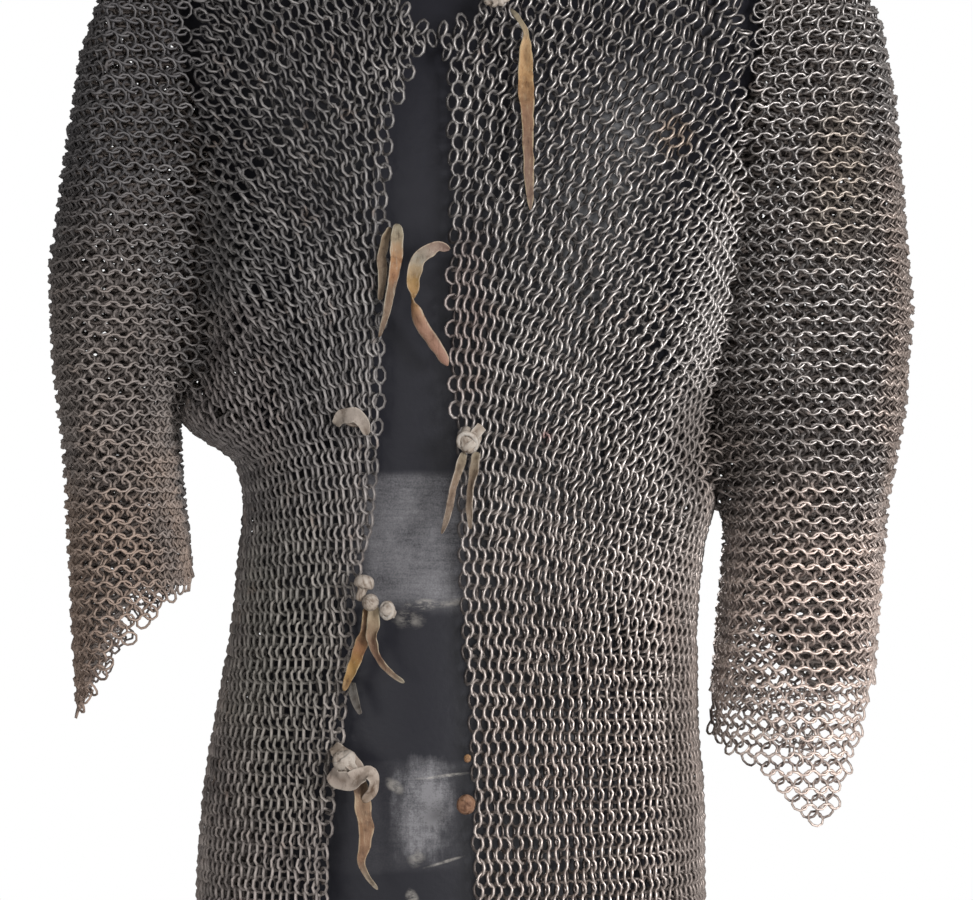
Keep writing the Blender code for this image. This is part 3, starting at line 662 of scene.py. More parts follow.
# Short stretches of strap that are part of a knot: a nub's arch, and a knot's tab.
KNOT_STRAPS = {
    "nub_left": table(STRAP_COLUMNS, [
        (-86.8, 485.5, 8.5, 6.2, 0), (-81.5, 491.2, 11.5, 9.2, 0), (-74.5, 491.8, 13, 10.4, 0),
        (-68.8, 487, 12.5, 8.2, 0), (-65.8, 479, 10.5, 4, 0),
    ]),
    "knot_mid_right": table(STRAP_COLUMNS, [
        (2.2, 478, 16, 7, -10), (5.2, 482, 17.5, 7.8, -20), (8, 485.2, 17.5, 7.4, -25),
    ]),
}
# Knots and knobs, in millimetres: middle, stand-off from the mail's middle surface, size across, deep and
# high; then tilt in degrees, how much of that size the core fills, and how deep its creases are as a share
# of it.
Knot = namedtuple("Knot", "x z lift across deep high tilt core crease")
KNOTS = {
    "knot_neck": Knot(18, 762, 14.5, 19, 9, 8.5, 12, 0.90, 0.10),
    "nub_left": Knot(-74.5, 488, 10.5, 16, 7, 9, -10, 0.90, 0.03),
    "knot_mid_right": Knot(-0.4, 475.5, 15, 14.2, 11.6, 18.6, 8, 0.92, 0.13),
    "bead_mid_left_a": Knot(-69, 379.7, 14.5, 13.4, 11.2, 17.6, -15, 1.0, 0.015),
    "bead_mid_left_b": Knot(-64, 370.5, 16, 11, 10.8, 11.4, -20, 1.0, 0.02),
    "bead_mid_left_c": Knot(-52.3, 365.2, 16, 10, 9.4, 12.6, 10, 0.92, 0.08),
    "knot_low_left": Knot(-79.5, 266, 12.5, 20, 11, 15, -30, 0.96, 0.10),
    "knob_low_right": Knot(-2, 240.5, 13.5, 12.4, 9.5, 13.4, 0, 1.0, 0.14),
    "bit_low_right": Knot(-1, 270, 10.5, 4.8, 3.6, 5.5, 0, 1.0, 0.10),
}
# Strips wound round a knot: how steep and how far round the winding's axis is, in degrees, how far along that
# axis the strip lies as a share of the knot's size, its width and its thickness.
Winding = namedtuple("Winding", "steep round place width thick")
WINDINGS = {
    "knot_neck": [
        Winding(78, 0, 0.05, 0.0042, 0.0014), Winding(8, 20, -0.45, 0.0044, 0.0014),
        Winding(-12, -15, 0.42, 0.0040, 0.0014),
    ],
    "knot_mid_right": [
        Winding(26, 74, -0.40, 0.0040, 0.0030), Winding(50, 25, 0.44, 0.0058, 0.0020),
        Winding(-62, 30, 0.30, 0.0044, 0.0016),
    ],
    "bead_mid_left_c": [Winding(64, 0, -0.10, 0.0048, 0.0016), Winding(-14, 60, -0.30, 0.0036, 0.0024)],
    "knot_low_left": [Winding(52, 0, 0.34, 0.0064, 0.0018), Winding(-28, 12, -0.20, 0.0064, 0.0018)],
}
# A capped bead from top to bottom: its height and how wide it is there, as shares of its half sizes.
CAP_PROFILE = [
    (1.00, 0.08), (0.97, 0.38), (0.89, 0.64), (0.75, 0.85), (0.54, 0.97), (0.30, 1.00), (0.12, 0.97),
    (0.04, 0.84), (0.00, 0.62), (-0.10, 0.48), (-0.36, 0.45), (-0.64, 0.47), (-0.86, 0.44), (-0.96, 0.30),
    (-1.00, 0.08),
]
Hide = namedtuple("Hide", "points across along hollow closed")  # one rounded part of a leather piece


def strap_run(rows):
    """A strap's middle line, width and turn against its length so far."""
    line = np.stack([rows["x"], front_surface(rows["x"], rows["z"]) - rows["lift"] + NESTLED, rows["z"]], -1)
    run = np.concatenate([[0.0], np.cumsum(np.linalg.norm(np.diff(line, axis=0), axis=1))])
    return {"height": run, "x": line[:, 0], "y": line[:, 1], "z": line[:, 2], "width": rows["width"],
            "turn": rows["turn"]}


def ribbon(line, broad, thin, width, thickness, curl, seed, closed=False, sides=14):
    """A strip of hide along a line: soft edges that curl forward, an uneven width, a crease along its middle
    and, unless it is closed, rounded ends."""
    steps = len(line)
    share = np.arange(steps) / (steps if closed else steps - 1)
    angle = (np.arange(sides) + 0.5) * 2 * math.pi / sides
    u = np.sign(np.cos(angle)) * np.abs(np.cos(angle)) ** 0.5
    v = np.sign(np.sin(angle)) * np.abs(np.sin(angle)) ** 0.8
    ragged = [0.09 * waves(line, 0.011, seed + k) for k in range(2)]
    half = width[:, None] / 2 * (1 + np.where(u > 0, ragged[0][:, None], ragged[1][:, None]))
    thickness = np.minimum(thickness, width * 0.8) * (1 + 0.12 * waves(line, 0.008, seed + 2))
    crease = np.clip(0.55 + 0.6 * waves(line, 0.014, seed + 3), 0, 1)
    middle = 0.35 * waves(line, 0.02, seed + 4)
    dip = crease[:, None] * np.exp(-((u - middle[:, None]) / 0.3) ** 2)
    curl = curl * (1 + 0.5 * waves(line, 0.016, seed + 5))
    end = np.ones(steps) if closed else np.clip(np.sqrt(np.minimum(share, 1 - share) / 0.035 + 0.12), 0, 1)
    half, thickness = half * end[:, None], thickness * end
    stand = thickness[:, None] * (0.5 * v - 0.42 * dip) + (curl * width * end)[:, None] * u * u
    points = line[:, None] + broad[:, None] * (half * u)[..., None] + thin[:, None] * stand[..., None]
    points += thin[:, None] * (0.00016 * waves(points, 0.0045, seed + 6))[..., None]
    across = np.broadcast_to((u + 1) / 2, (steps, sides))
    return Hide(points, across, np.broadcast_to(share[:, None], (steps, sides)), dip * 0.9, closed)


def strap_hide(rows, look, seed, steps=48):
    """A strap's hide along its smooth route."""
    run = strap_run(rows)
    at = np.linspace(0, run["height"][-1], steps)
    line = np.stack([smooth(run, axis, at) for axis in "xyz"], -1)
    turn = np.radians(smooth(run, "turn", at))[:, None]
    ahead = unit(np.gradient(line, axis=0))
    side = unit(np.cross(ahead, [0.0, -1.0, 0.0]))
    face = np.cross(side, ahead)
    broad = side * np.cos(turn) + face * np.sin(turn)
    thin = face * np.cos(turn) - side * np.sin(turn)
    return ribbon(line, broad, thin, smooth(run, "width", at), look.thickness, look.curl, seed)


def wound_strip(middle, half_sizes, lean, winding, seed, steps=30):
    """A closed strip of hide that hugs an ellipsoid."""
    steep, turned = math.radians(winding.steep), math.radians(winding.round)
    axis = np.array([math.cos(steep) * math.cos(turned), math.cos(steep) * math.sin(turned), math.sin(steep)])
    first = unit(np.cross(axis, [0.0, 1.0, 0.3]))
    second = np.cross(axis, first)
    turn = (np.arange(steps) * 2 * math.pi / steps)[:, None]
    ray = first * np.cos(turn) + second * np.sin(turn)
    narrow = math.sqrt(1 - winding.place ** 2)
    reach = narrow / np.linalg.norm(ray / half_sizes, axis=-1, keepdims=True)
    along_axis = winding.place / np.linalg.norm(axis / half_sizes)
    line = ray * reach + axis * (along_axis + 0.0004 * waves(ray * 0.01, 0.012, seed)[:, None])
    width = winding.width * (1 + 0.14 * waves(ray * 0.01, 0.014, seed + 7))
    broad = np.broadcast_to(axis, line.shape)
    outward = unit(line / half_sizes ** 2)
    outward = unit(outward - broad * np.sum(outward * broad, -1, keepdims=True))
    return ribbon(
        middle + line @ lean.T, broad @ lean.T, outward @ lean.T, width, winding.thick, -0.14, seed,
        closed=True, sides=12)


def lump(middle, half_sizes, lean, crease, seed, profile=None, rows=20, sides=30):
    """A rounded core with sharp creases."""
    turn = np.arange(sides) * 2 * math.pi / sides
    if profile:
        high, wide = np.array(profile).T
    else:
        polar = np.linspace(0.12, math.pi - 0.12, rows)
        high, wide = np.cos(polar), np.sin(polar)
    level_with = np.broadcast_to(high[:, None], (len(high), sides))
    ray = np.stack([wide[:, None] * np.cos(turn), wide[:, None] * np.sin(turn), level_with], -1)
    fold = np.exp(-(waves(ray * 0.01, 0.011, seed) / 0.20) ** 2)
    fine = np.exp(-(waves(ray * 0.01, 0.005, seed + 1) / 0.25) ** 2)
    swell = 1 + crease * (0.35 * waves(ray * 0.01, 0.018, seed + 2) - 0.8 * fold - 0.2 * fine)
    points = middle + (ray * half_sizes * swell[..., None]) @ lean.T
    along = np.broadcast_to(((1 - high) / 2)[:, None], swell.shape)
    return Hide(points, np.full(swell.shape, 0.5), along, np.clip(fold + 0.5 * fine, 0, 1), False)


def leather_mesh(name, hides):
    """Makes one mesh of several rounded parts of hide, with how far each point lies across and along its part
    and how deep in a crease it is."""
    shape = bmesh.new()
    for hide in hides:
        rows, sides = hide.points.shape[:2]
        points = [shape.verts.new(point) for point in hide.points.reshape(-1, 3)]
        for row in range(rows if hide.closed else rows - 1):
            after = (row + 1) % rows
            for i in range(sides):
                beside = (i + 1) % sides
                shape.faces.new([points[at] for at in (
                    row * sides + i, row * sides + beside, after * sides + beside, after * sides + i)])
        if not hide.closed:
            shape.faces.new(points[:sides])
            shape.faces.new(points[-sides:])
    bmesh.ops.recalc_face_normals(shape, faces=shape.faces[:])
    mesh = bpy.data.meshes.new(name)
    shape.to_mesh(mesh)
    shape.free()
    for field in ("across", "along", "hollow"):
        add_field(mesh, field, [getattr(hide, field) for hide in hides])
    mesh.shade_smooth()
    return add_object(name, mesh)


# ---------------------------------------------------------------------------------------------------------
# Materials


class Shade:
    """One output of a material's nodes. Sums on it are Python expressions, which add Math nodes."""

    def __init__(self, tree, socket=None):
        self.tree = tree
        self.socket = socket

    def node(self, kind, settings=None, inputs=None, output=0):
        """Adds a node: first its settings, then the values or links of its sockets. stops are a ramp's."""
        made = self.tree.nodes.new(kind)
        for name, value in (settings or {}).items():
            if name == "stops":
                for i, (place, colour) in enumerate(value):
                    stop = made.color_ramp.elements[i] if i < 2 else made.color_ramp.elements.new(place)
                    stop.position, stop.color = place, colour
            else:
                setattr(made, name, value)
        for name, value in (inputs or {}).items():
            if isinstance(value, Shade):
                self.tree.links.new(value.socket, made.inputs[name])
            else:
                made.inputs[name].default_value = value
        return Shade(self.tree, made.outputs[output])

    def math(self, operation, first, second=0.0, clamp=False):
        settings = {"operation": operation, "use_clamp": clamp}
        return self.node("ShaderNodeMath", settings, {0: first, 1: second})

    def __add__(self, other):
        return self.math("ADD", self, other)

    def __radd__(self, other):
        return self.math("ADD", other, self)

    def __sub__(self, other):
        return self.math("SUBTRACT", self, other)

    def __rsub__(self, other):
        return self.math("SUBTRACT", other, self)

    def __mul__(self, other):
        return self.math("MULTIPLY", self, other)

    def __rmul__(self, other):
        return self.math("MULTIPLY", other, self)

    def __pow__(self, other):
        return self.math("POWER", self, other)

    def __abs__(self):
        return self.math("ABSOLUTE", self)

    def clip(self):
        """The value kept between 0 and 1."""
        return self.math("ADD", self, 0.0, clamp=True)

    def ramp(self, low, high):
        """0 below low, 1 above high, and smooth between them."""
        settings = {"interpolation_type": "SMOOTHSTEP"}
        return self.node("ShaderNodeMapRange", settings, {"Value": self, "From Min": low, "From Max": high})

    def noise(self, scale, detail=3.0, roughness=0.55):
        """Even noise between 0 and 1 at a place."""
        inputs = {"Vector": self, "Scale": scale, "Detail": detail, "Roughness": roughness}
        return self.node("ShaderNodeTexNoise", {}, inputs)

    def blend(self, amount, first, second, mode="MIX"):
        """Mixes two colours."""
        settings = {"data_type": "RGBA", "blend_type": mode}
        return self.node("ShaderNodeMix", settings, {0: amount, 6: first, 7: second}, output=2)

    def vector(self, operation, first, second):
        """Vector arithmetic on two vectors."""
        return self.node("ShaderNodeVectorMath", {"operation": operation}, {0: first, 1: second})

    def axis(self, number):
        """One coordinate of a place."""
        return self.node("ShaderNodeSeparateXYZ", {}, {0: self}, number)

    def away(self, middle, half_sizes):
        """How far a place lies from a middle, in half sizes."""
        offset = self.vector("DIVIDE", self.vector("SUBTRACT", self, middle), half_sizes)
        return self.node("ShaderNodeVectorMath", {"operation": "LENGTH"}, {0: offset}, output=1)

    def drawn_noise(self, scales, detail, roughness):
        """Noise at a place that is drawn out along the axes with the smaller scales."""
        return self.vector("MULTIPLY", self, scales).noise(1.0, detail, roughness)

    def bump(self, strength, distance):
        """A surface that rises and falls with a value."""
        return self.node("ShaderNodeBump", {}, {"Strength": strength, "Distance": distance, "Height": self})

    def fields(self, *names):
        """Several of the mesh's own fields."""
        return [self.node("ShaderNodeAttribute", {"attribute_name": name}, output=2) for name in names]


def new_material(name):
    """A material with one Principled BSDF, its root for adding nodes, its shader and its place in metres."""
    material = bpy.data.materials.new(name)
    material.use_nodes = True
    tree = material.node_tree
    root = Shade(tree)
    place = root.node("ShaderNodeTexCoord", output=3)
    return material, root, tree.nodes["Principled BSDF"], place


def feed(shader, name, value):
    """Sets or links one socket of the shader."""
    if isinstance(value, Shade):
        value.tree.links.new(value.socket, shader.inputs[name])
    else:
        shader.inputs[name].default_value = value


def colour(rgb):
    """A colour with full alpha."""
    return (rgb[0], rgb[1], rgb[2], 1.0)


# Patches on the mail: middle and half sizes in millimetres, how strongly they show, and their colour. The
# brown ones are rust stains. The dark ones at both armholes, over the top of the left sleeve and low on the
# right side are painted shade, and the pale one on the lower right sleeve is painted light.
Patch = namedtuple("Patch", "x y z wide deep high strength red green blue")
PATCHES = [
    Patch(-245, -50, 520, 60, 120, 120, 0.38, 0.330, 0.270, 0.235),
    # painted shade in the right armhole
    Patch(162, -60, 470, 34, 120, 55, 0.75, 0.070, 0.058, 0.052),
    Patch(-235, -50, 360, 60, 120, 105, 0.80, 0.330, 0.245, 0.195),
    Patch(-262, -20, 300, 30, 120, 60, 0.55, 0.210, 0.150, 0.120),
    # painted shade over the top of the left sleeve
    Patch(-245, -50, 720, 70, 120, 140, 0.62, 0.072, 0.068, 0.072),
    Patch(288, -20, 500, 20, 120, 220, 0.45, 0.330, 0.240, 0.190),
    # painted light on the lower right sleeve
    Patch(230, -50, 330, 80, 120, 125, 0.85, 0.570, 0.475, 0.425),
    Patch(245, -60, 650, 22, 120, 60, 0.45, 0.300, 0.235, 0.170),
    # painted shade low down the right side
    Patch(145, -70, 250, 18, 120, 180, 0.60, 0.085, 0.068, 0.060),
    Patch(136, -100, 676, 12, 50, 16, 0.45, 0.300, 0.200, 0.120),
    Patch(50, -120, 478, 4, 50, 5, 0.50, 0.300, 0.110, 0.110),
    Patch(-5, -120, 565, 22, 50, 70, 0.30, 0.240, 0.150, 0.130),
    # painted shade by the left armhole
    Patch(-150, -90, 500, 40, 90, 60, 0.35, 0.110, 0.085, 0.080),
    Patch(-130, -100, 330, 50, 90, 120, 0.35, 0.155, 0.158, 0.130),
]


def mail_material(look):
    """Worn steel wire, rusty in places, with painted highlight where it stands out and painted shade where it
    lies deep.
    """
    material, root, shader, place = new_material("mail_steel")
    tone, proud = root.fields("tone", "proud")
    broad = place.noise(22.0, 4.0)
    fine = place.noise(420.0, 2.0)
    height = place.axis(2)
    # painted shade darkens the left, whose wire is also duller, and painted light brightens the low part
    left_shade_and_dullness = place.axis(0).ramp(0.06, -0.12)
    painted_light_and_shade = height.ramp(0.62, 0.22) * 0.30 + (0.24 + height.ramp(0.50, 0.20) * 0.14) * (1 - left_shade_and_dullness) - left_shade_and_dullness * 0.32
    light = painted_light_and_shade + 0.44 + (tone - 0.5) * 0.45 + (broad - 0.5) * 0.9 + (fine - 0.5) * 0.5
    steel = root.blend(light.clip(), colour(look.steel_dark), colour(look.steel_light))
    steel = root.blend(height.ramp(0.60, 0.25), steel, (1.0, 0.93, 0.89, 1.0), mode="MULTIPLY")
    rusty = place.noise(60.0, 5.0, 0.65).ramp(0.56, 0.74) * 0.5
    steel = root.blend(rusty.clip(), steel, colour(look.rust))
    rust_and_patches = rusty
    for patch in PATCHES:
        reach = place.away(metres(patch.x, patch.y, patch.z), metres(patch.wide, patch.deep, patch.high))
        mask = (1.35 - reach + (broad - 0.5) * 1.6 + (fine - 0.5) * 0.5).ramp(0.0, 0.9) * patch.strength
        steel = root.blend(mask, steel, (patch.red, patch.green, patch.blue, 1.0))
        rust_and_patches = rust_and_patches + mask * 0.6
    rust_and_patches = rust_and_patches.clip()
    # painted highlight on the parts of each ring that stand out, and painted shade on the parts that lie
    # deep, both weaker on the left
    proud_highlight = proud.ramp(0.46, 0.86) * (1 - left_shade_and_dullness * 0.7)
    deep_shade = proud.ramp(0.60, 0.22) * (1 - left_shade_and_dullness * 0.5)
    steel = root.blend(proud_highlight, steel, (1.25, 1.23, 1.22, 1.0), mode="MULTIPLY")
    steel = root.blend(deep_shade, steel, (0.46, 0.44, 0.44, 1.0), mode="MULTIPLY")
    feed(shader, "Base Color", steel)
    feed(shader, "Metallic", 0.75 - rust_and_patches * 0.30 - left_shade_and_dullness * 0.32)
    feed(shader, "Roughness", (0.43 + rust_and_patches * 0.2 + left_shade_and_dullness * 0.26 + (fine - 0.5) * 0.25).clip())
    return material


def shaded_inside_material():
    """Mail of the inner folds in a darker copy of the steel, as painted shade: dark, matt and rusty."""
    material, root, shader, place = new_material("mail_inside_shaded")
    patchy = place.noise(40.0, 4.0, 0.6)
    feed(shader, "Base Color", root.blend(patchy, (0.095, 0.082, 0.077, 1.0), (0.225, 0.186, 0.165, 1.0)))
    feed(shader, "Metallic", 0.3)
    feed(shader, "Roughness", 0.75)
    return material


# Scuffs on the form: middle and half sizes in millimetres, how steeply they slant, and how much they show.
Scuff = namedtuple("Scuff", "x z wide high slope strength")
SCUFFS = (
    Scuff(-30, 368, 15, 4, 0.10, 0.62), Scuff(-40, 360, 10, 7, 0.00, 0.34),
    Scuff(-12, 369.5, 10, 3, 0.25, 0.45), Scuff(-18, 256.5, 19, 1.2, 0.12, 0.60),
    Scuff(-49, 250, 6, 4.5, -0.4, 0.50), Scuff(-16, 201, 12, 1.1, 0.30, 0.55),
    Scuff(-37, 176.5, 4.5, 6.2, -0.5, 0.60), Scuff(-34, 204, 6, 6, 0.30, 0.36),
)


def form_material(look):
    """The torso form's dark slate surface, satin, with paler bands that are partly abraded paint and partly
    painted light, a painted highlight on the belly, scuffs and scratches.
    """
    material, root, shader, place = new_material("form_slate")
    across, height = place.axis(0), place.axis(2)
    broad = place.noise(9.0, 5.0, 0.6)
    fine = place.noise(260.0, 3.0)
    mottled = place.noise(30.0, 6.0, 0.66)
    grain = place.noise(900.0, 2.0, 0.6)
    brushed = place.drawn_noise((40.0, 40.0, 420.0), 5.0, 0.75)
    drawn = place.drawn_noise((150.0, 60.0, 34.0), 6.0, 0.7)
    low = height + (broad - 0.5) * 0.03
    # paler bands across the front: partly abraded paint and partly painted light
    band = low.ramp(0.175, 0.200) * (1 - low.ramp(0.262, 0.280))
    band = band + low.ramp(0.360, 0.376) * (1 - height.ramp(0.449, 0.457))
    aside = across + (broad - 0.5) * 0.02
    open_part = aside.ramp(-0.074, -0.062) * aside.ramp(0.000, -0.010)
    # painted highlight: a pool of light on the belly inside the opening, spread and mottled by the next line
    highlight_reach = place.away((-0.030, -0.10, 0.240), (0.025, 0.20, 0.042))
    core = 1.10 - highlight_reach + (mottled - 0.5) * 1.3 + (drawn - 0.5) * 1.3 + (broad - 0.5) * 0.8
    band = band * 0.58 - low.ramp(0.300, 0.290) * 0.48 + core.ramp(0.0, 1.0) * 0.88
    band = band.clip() * (0.30 + open_part * 0.70)
    texture = 0.85 + (mottled - 0.5) * 2.8 + (brushed - 0.5) * 1.3 + (grain - 0.5) * 1.5
    rubbed_and_lit = (band * texture).clip()
    base = root.blend(rubbed_and_lit, colour(look.form_dark), colour(look.form_rubbed_and_lit))
    streak = place.drawn_noise((70.0, 70.0, 160.0), 6.0, 0.75).ramp(0.40, 0.62)
    scuffs = 0.0
    for scuff in SCUFFS:
        x, z, wide, high = metres(scuff.x, scuff.z, scuff.wide, scuff.high)
        off = across - x
        rise = (height - z - off * scuff.slope) * (1 / high)
        off = off * (1 / wide)
        reach = (off * off + rise * rise) ** 0.5 + (fine - 0.5) * 0.5 + (mottled - 0.5) * 1.4
        scuffs = scuffs + ((1.15 - reach) * 1.4).clip() * streak * scuff.strength
    base = root.blend((scuffs * 0.8).clip(), base, colour(look.form_scuff))
    feed(shader, "Base Color", base)
    feed(shader, "Roughness", (0.40 + rubbed_and_lit * 0.12 + (fine - 0.5) * 0.15 + (broad - 0.5) * 0.2).clip())
    feed(shader, "Normal", (fine + broad * 2.0).bump(0.25, 0.0006))
    shader.inputs["Specular IOR Level"].default_value = 0.22
    return material


LEATHER_TONE = 0.39  # how dark the worn hide is beside its everyday colour values


def tint(red, green, blue):
    """A leather's colour from everyday 0 to 255 values."""
    values = np.array([red, green, blue]) / 255
    linear = np.where(values > 0.04045, ((values + 0.055) / 1.055) ** 2.4, values / 12.92)
    return tuple(float(value) * LEATHER_TONE for value in linear) + (1.0,)


# The colours that each leather tie takes along its length, and the colour of its worn edges.
PALE = (222, 208, 194)
Leather = namedtuple("Leather", "stops edge")
LEATHERS = {
    "tie_neck": Leather([
        (0.0, (150, 140, 120)), (0.12, (186, 168, 140)), (0.20, (240, 198, 148)), (0.36, (214, 166, 112)),
        (0.52, (164, 122, 90)), (0.72, (146, 110, 88)), (1.0, (150, 124, 108)),
    ], (228, 208, 168)),
    "tie_upper_left": Leather([
        (0.0, (186, 176, 152)), (0.14, (182, 162, 132)), (0.30, (202, 150, 104)), (0.46, (190, 138, 98)),
        (0.56, (152, 122, 96)), (1.0, (140, 116, 96)),
    ], (226, 216, 196)),
    "fold_upper_left": Leather(
        [(0.0, (172, 150, 122)), (0.5, (150, 126, 102)), (1.0, (132, 112, 92))], (212, 200, 178)),
    "tie_upper_right": Leather([
        (0.0, (168, 138, 126)), (0.12, (176, 150, 134)), (0.24, (182, 173, 156)), (0.38, (196, 156, 96)),
        (0.54, (188, 142, 92)), (0.68, (192, 146, 120)), (1.0, (186, 140, 120)),
    ], (226, 206, 180)),
    "tie_mid_right_a": Leather(
        [(0.0, (176, 160, 134)), (0.4, (164, 138, 116)), (1.0, (148, 130, 114))], PALE),
    "tie_mid_right_b": Leather(
        [(0.0, (180, 164, 138)), (0.4, (166, 142, 120)), (1.0, (150, 132, 114))], PALE),
    "tie_mid_left_a": Leather([
        (0.0, (150, 116, 84)), (0.30, (140, 104, 74)), (0.50, (178, 126, 84)), (0.70, (196, 150, 82)),
        (1.0, (188, 150, 104)),
    ], (214, 190, 150)),
    "tie_mid_left_b": Leather([
        (0.0, (190, 174, 144)), (0.22, (186, 160, 130)), (0.45, (160, 120, 96)), (0.75, (160, 128, 104)),
        (1.0, (172, 160, 140)),
    ], (214, 200, 172)),
    "end_mid_left": Leather([(0.0, (98, 94, 88)), (1.0, (112, 104, 98))], (140, 132, 120)),
    "tie_low_left": Leather([
        (0.0, (120, 92, 72)), (0.10, (140, 110, 86)), (0.22, (176, 142, 112)), (0.40, (168, 128, 96)),
        (0.70, (162, 124, 96)), (0.86, (172, 154, 134)), (1.0, (182, 170, 152)),
    ], (222, 200, 166)),
    "loop_low_left_a": Leather(
        [(0.0, (170, 154, 138)), (0.5, (208, 191, 176)), (1.0, (198, 178, 162))], PALE),
    "loop_low_left_b": Leather(
        [(0.0, (214, 197, 184)), (0.6, (222, 205, 190)), (1.0, (184, 160, 138))], PALE),
    "nub_left": Leather([(0.0, (186, 172, 158)), (0.5, (206, 192, 180)), (1.0, (176, 160, 146))], PALE),
    "knob_low_right": Leather([(0.0, (184, 138, 108)), (1.0, (166, 120, 92))], (238, 218, 192)),
    "bit_low_right": Leather([(0.0, (206, 158, 108)), (1.0, (180, 132, 92))], PALE),
    # on a knot's core the stops run from its top to its bottom, so its darker bottom is painted shade
    "knots": Leather([(0.0, (230, 217, 204)), (1.0, (204, 187, 170))], (240, 231, 221)),
}


def leather_material(name):
    """Aged hide: its colour changes along its length, with painted shade in its creases and dirt in patches,
    and it is paler along its edges from wear.
    """
    material, root, shader, place = new_material(f"leather_{name}")
    across, along, hollow = root.fields("across", "along", "hollow")
    broad = place.noise(130.0, 4.0, 0.6)
    fine = place.noise(620.0, 4.0, 0.7)
    fibre = place.drawn_noise((1500.0, 1500.0, 300.0), 3.0, 0.6)
    stops = [(share, tint(*rgb)) for share, rgb in LEATHERS[name].stops]
    base = root.node("ShaderNodeValToRGB", {"stops": stops}, {"Fac": along + (broad - 0.5) * 0.16})
    rim = abs(across - 0.5).ramp(0.36, 0.49) * broad.ramp(0.34, 0.56)
    base = root.blend(rim * 0.8, base, tint(*LEATHERS[name].edge))
    streaks = place.drawn_noise((520.0, 520.0, 90.0), 5.0, 0.7)
    scraped = (fine.ramp(0.56, 0.74) * broad.ramp(0.38, 0.60) * 0.55 + streaks.ramp(0.52, 0.72) * 0.45).clip()
    base = root.blend(scraped, base, tint(*LEATHERS[name].edge))
    # painted shade in the creases, where hollow is high, with dirt in patches and streaks
    dirt_and_crease_shade = hollow * 0.75 + fine.ramp(0.36, 0.16) * 0.6 + (0.48 - broad).ramp(0.0, 0.16) * 0.45
    dirt_and_crease_shade = (dirt_and_crease_shade + streaks.ramp(0.46, 0.26) * 0.5).clip()
    base = root.blend(dirt_and_crease_shade, base, (0.26, 0.19, 0.14, 1.0), mode="MULTIPLY")
    feed(shader, "Base Color", base)
    feed(shader, "Roughness", (0.66 + (fine - 0.5) * 0.3 + hollow * 0.12).clip())
    feed(shader, "Normal", (fibre * 0.45 + fine * 0.8 + broad * 1.2).bump(0.6, 0.0005))
    shader.inputs["Specular IOR Level"].default_value = 0.3
    return material


def stage_material(name, rgb):
    """A plain matt surface for the floor."""
    material, _, shader, _ = new_material(name)
    feed(shader, "Base Color", colour(rgb))
    feed(shader, "Roughness", 0.9)
    return material


# ---------------------------------------------------------------------------------------------------------
# Settings


class HauberkMail(bpy.types.PropertyGroup):
    """Sizes and colours of the rings."""

    ring_outside: FloatProperty(
        name="Ring outside", description="Outside diameter of one ring", default=0.0125, unit="LENGTH")
    wire: FloatProperty(name="Wire", description="Thickness of a ring's wire", default=0.0016, unit="LENGTH")
    fullness: FloatProperty(
        name="Fullness", description="How far the wire's corners stand out from its round", default=1.48)
    tight_pitch: FloatProperty(
        name="Tight pitch", description="Distance between rings in a row where the mail hangs closed",
        default=0.0049, unit="LENGTH")
    row_step: FloatProperty(
        name="Row step", description="Distance between rows of rings on the chest and back", default=0.0087,
        unit="LENGTH")
    low_step: FloatProperty(
        name="Low row step", description="Distance between rows of rings below the waist", default=0.0077,
        unit="LENGTH")
    lean: FloatProperty(
        name="Lean", description="Lean of a ring at the tight pitch, in degrees", default=58.0)
    lean_loss: FloatProperty(
        name="Lean loss", description="Degrees by which a ring leans less for each extra millimetre of pitch",
        default=0.9)
    steel_dark: FloatVectorProperty(
        name="Dark steel", description="Steel in its darkest places", subtype="COLOR",
        default=(0.116, 0.110, 0.110))
    # the lightest steel, where the wire is rubbed and where painted light brightens the mail's low part
    steel_light: FloatVectorProperty(
        name="Light steel", description="Steel where it is rubbed", subtype="COLOR",
        default=(0.398, 0.376, 0.364))
    rust: FloatVectorProperty(
        name="Rust", description="Brown of the small rusty places", subtype="COLOR",
        default=(0.17, 0.115, 0.085))


class HauberkForm(bpy.types.PropertyGroup):
    """Detail and colours of the torso form."""

    sides: IntProperty(name="Sides", description="Faces around the form", default=84, min=24)
    levels: IntProperty(name="Levels", description="Rows of faces up the form", default=64, min=24)
    form_dark: FloatVectorProperty(
        name="Slate", description="The form's own colour", subtype="COLOR", default=(0.0125, 0.0125, 0.0165))
    # colour of the form's paler bands: partly rubbed paint and partly painted light, with a painted highlight
    form_rubbed_and_lit: FloatVectorProperty(
        name="Rubbed", description="Its colour where it is rubbed", subtype="COLOR",
        default=(0.150, 0.146, 0.154))
    form_scuff: FloatVectorProperty(
        name="Scuff", description="Colour of its scuffs", subtype="COLOR", default=(0.42, 0.39, 0.35))


class HauberkTies(bpy.types.PropertyGroup):
    """Sizes of the leather ties."""

    thickness: FloatProperty(
        name="Thickness", description="Thickness of the leather", default=0.0016, unit="LENGTH")
    curl: FloatProperty(
        name="Curl", description="How far a strap's edges curl forward, in its widths", default=0.18)


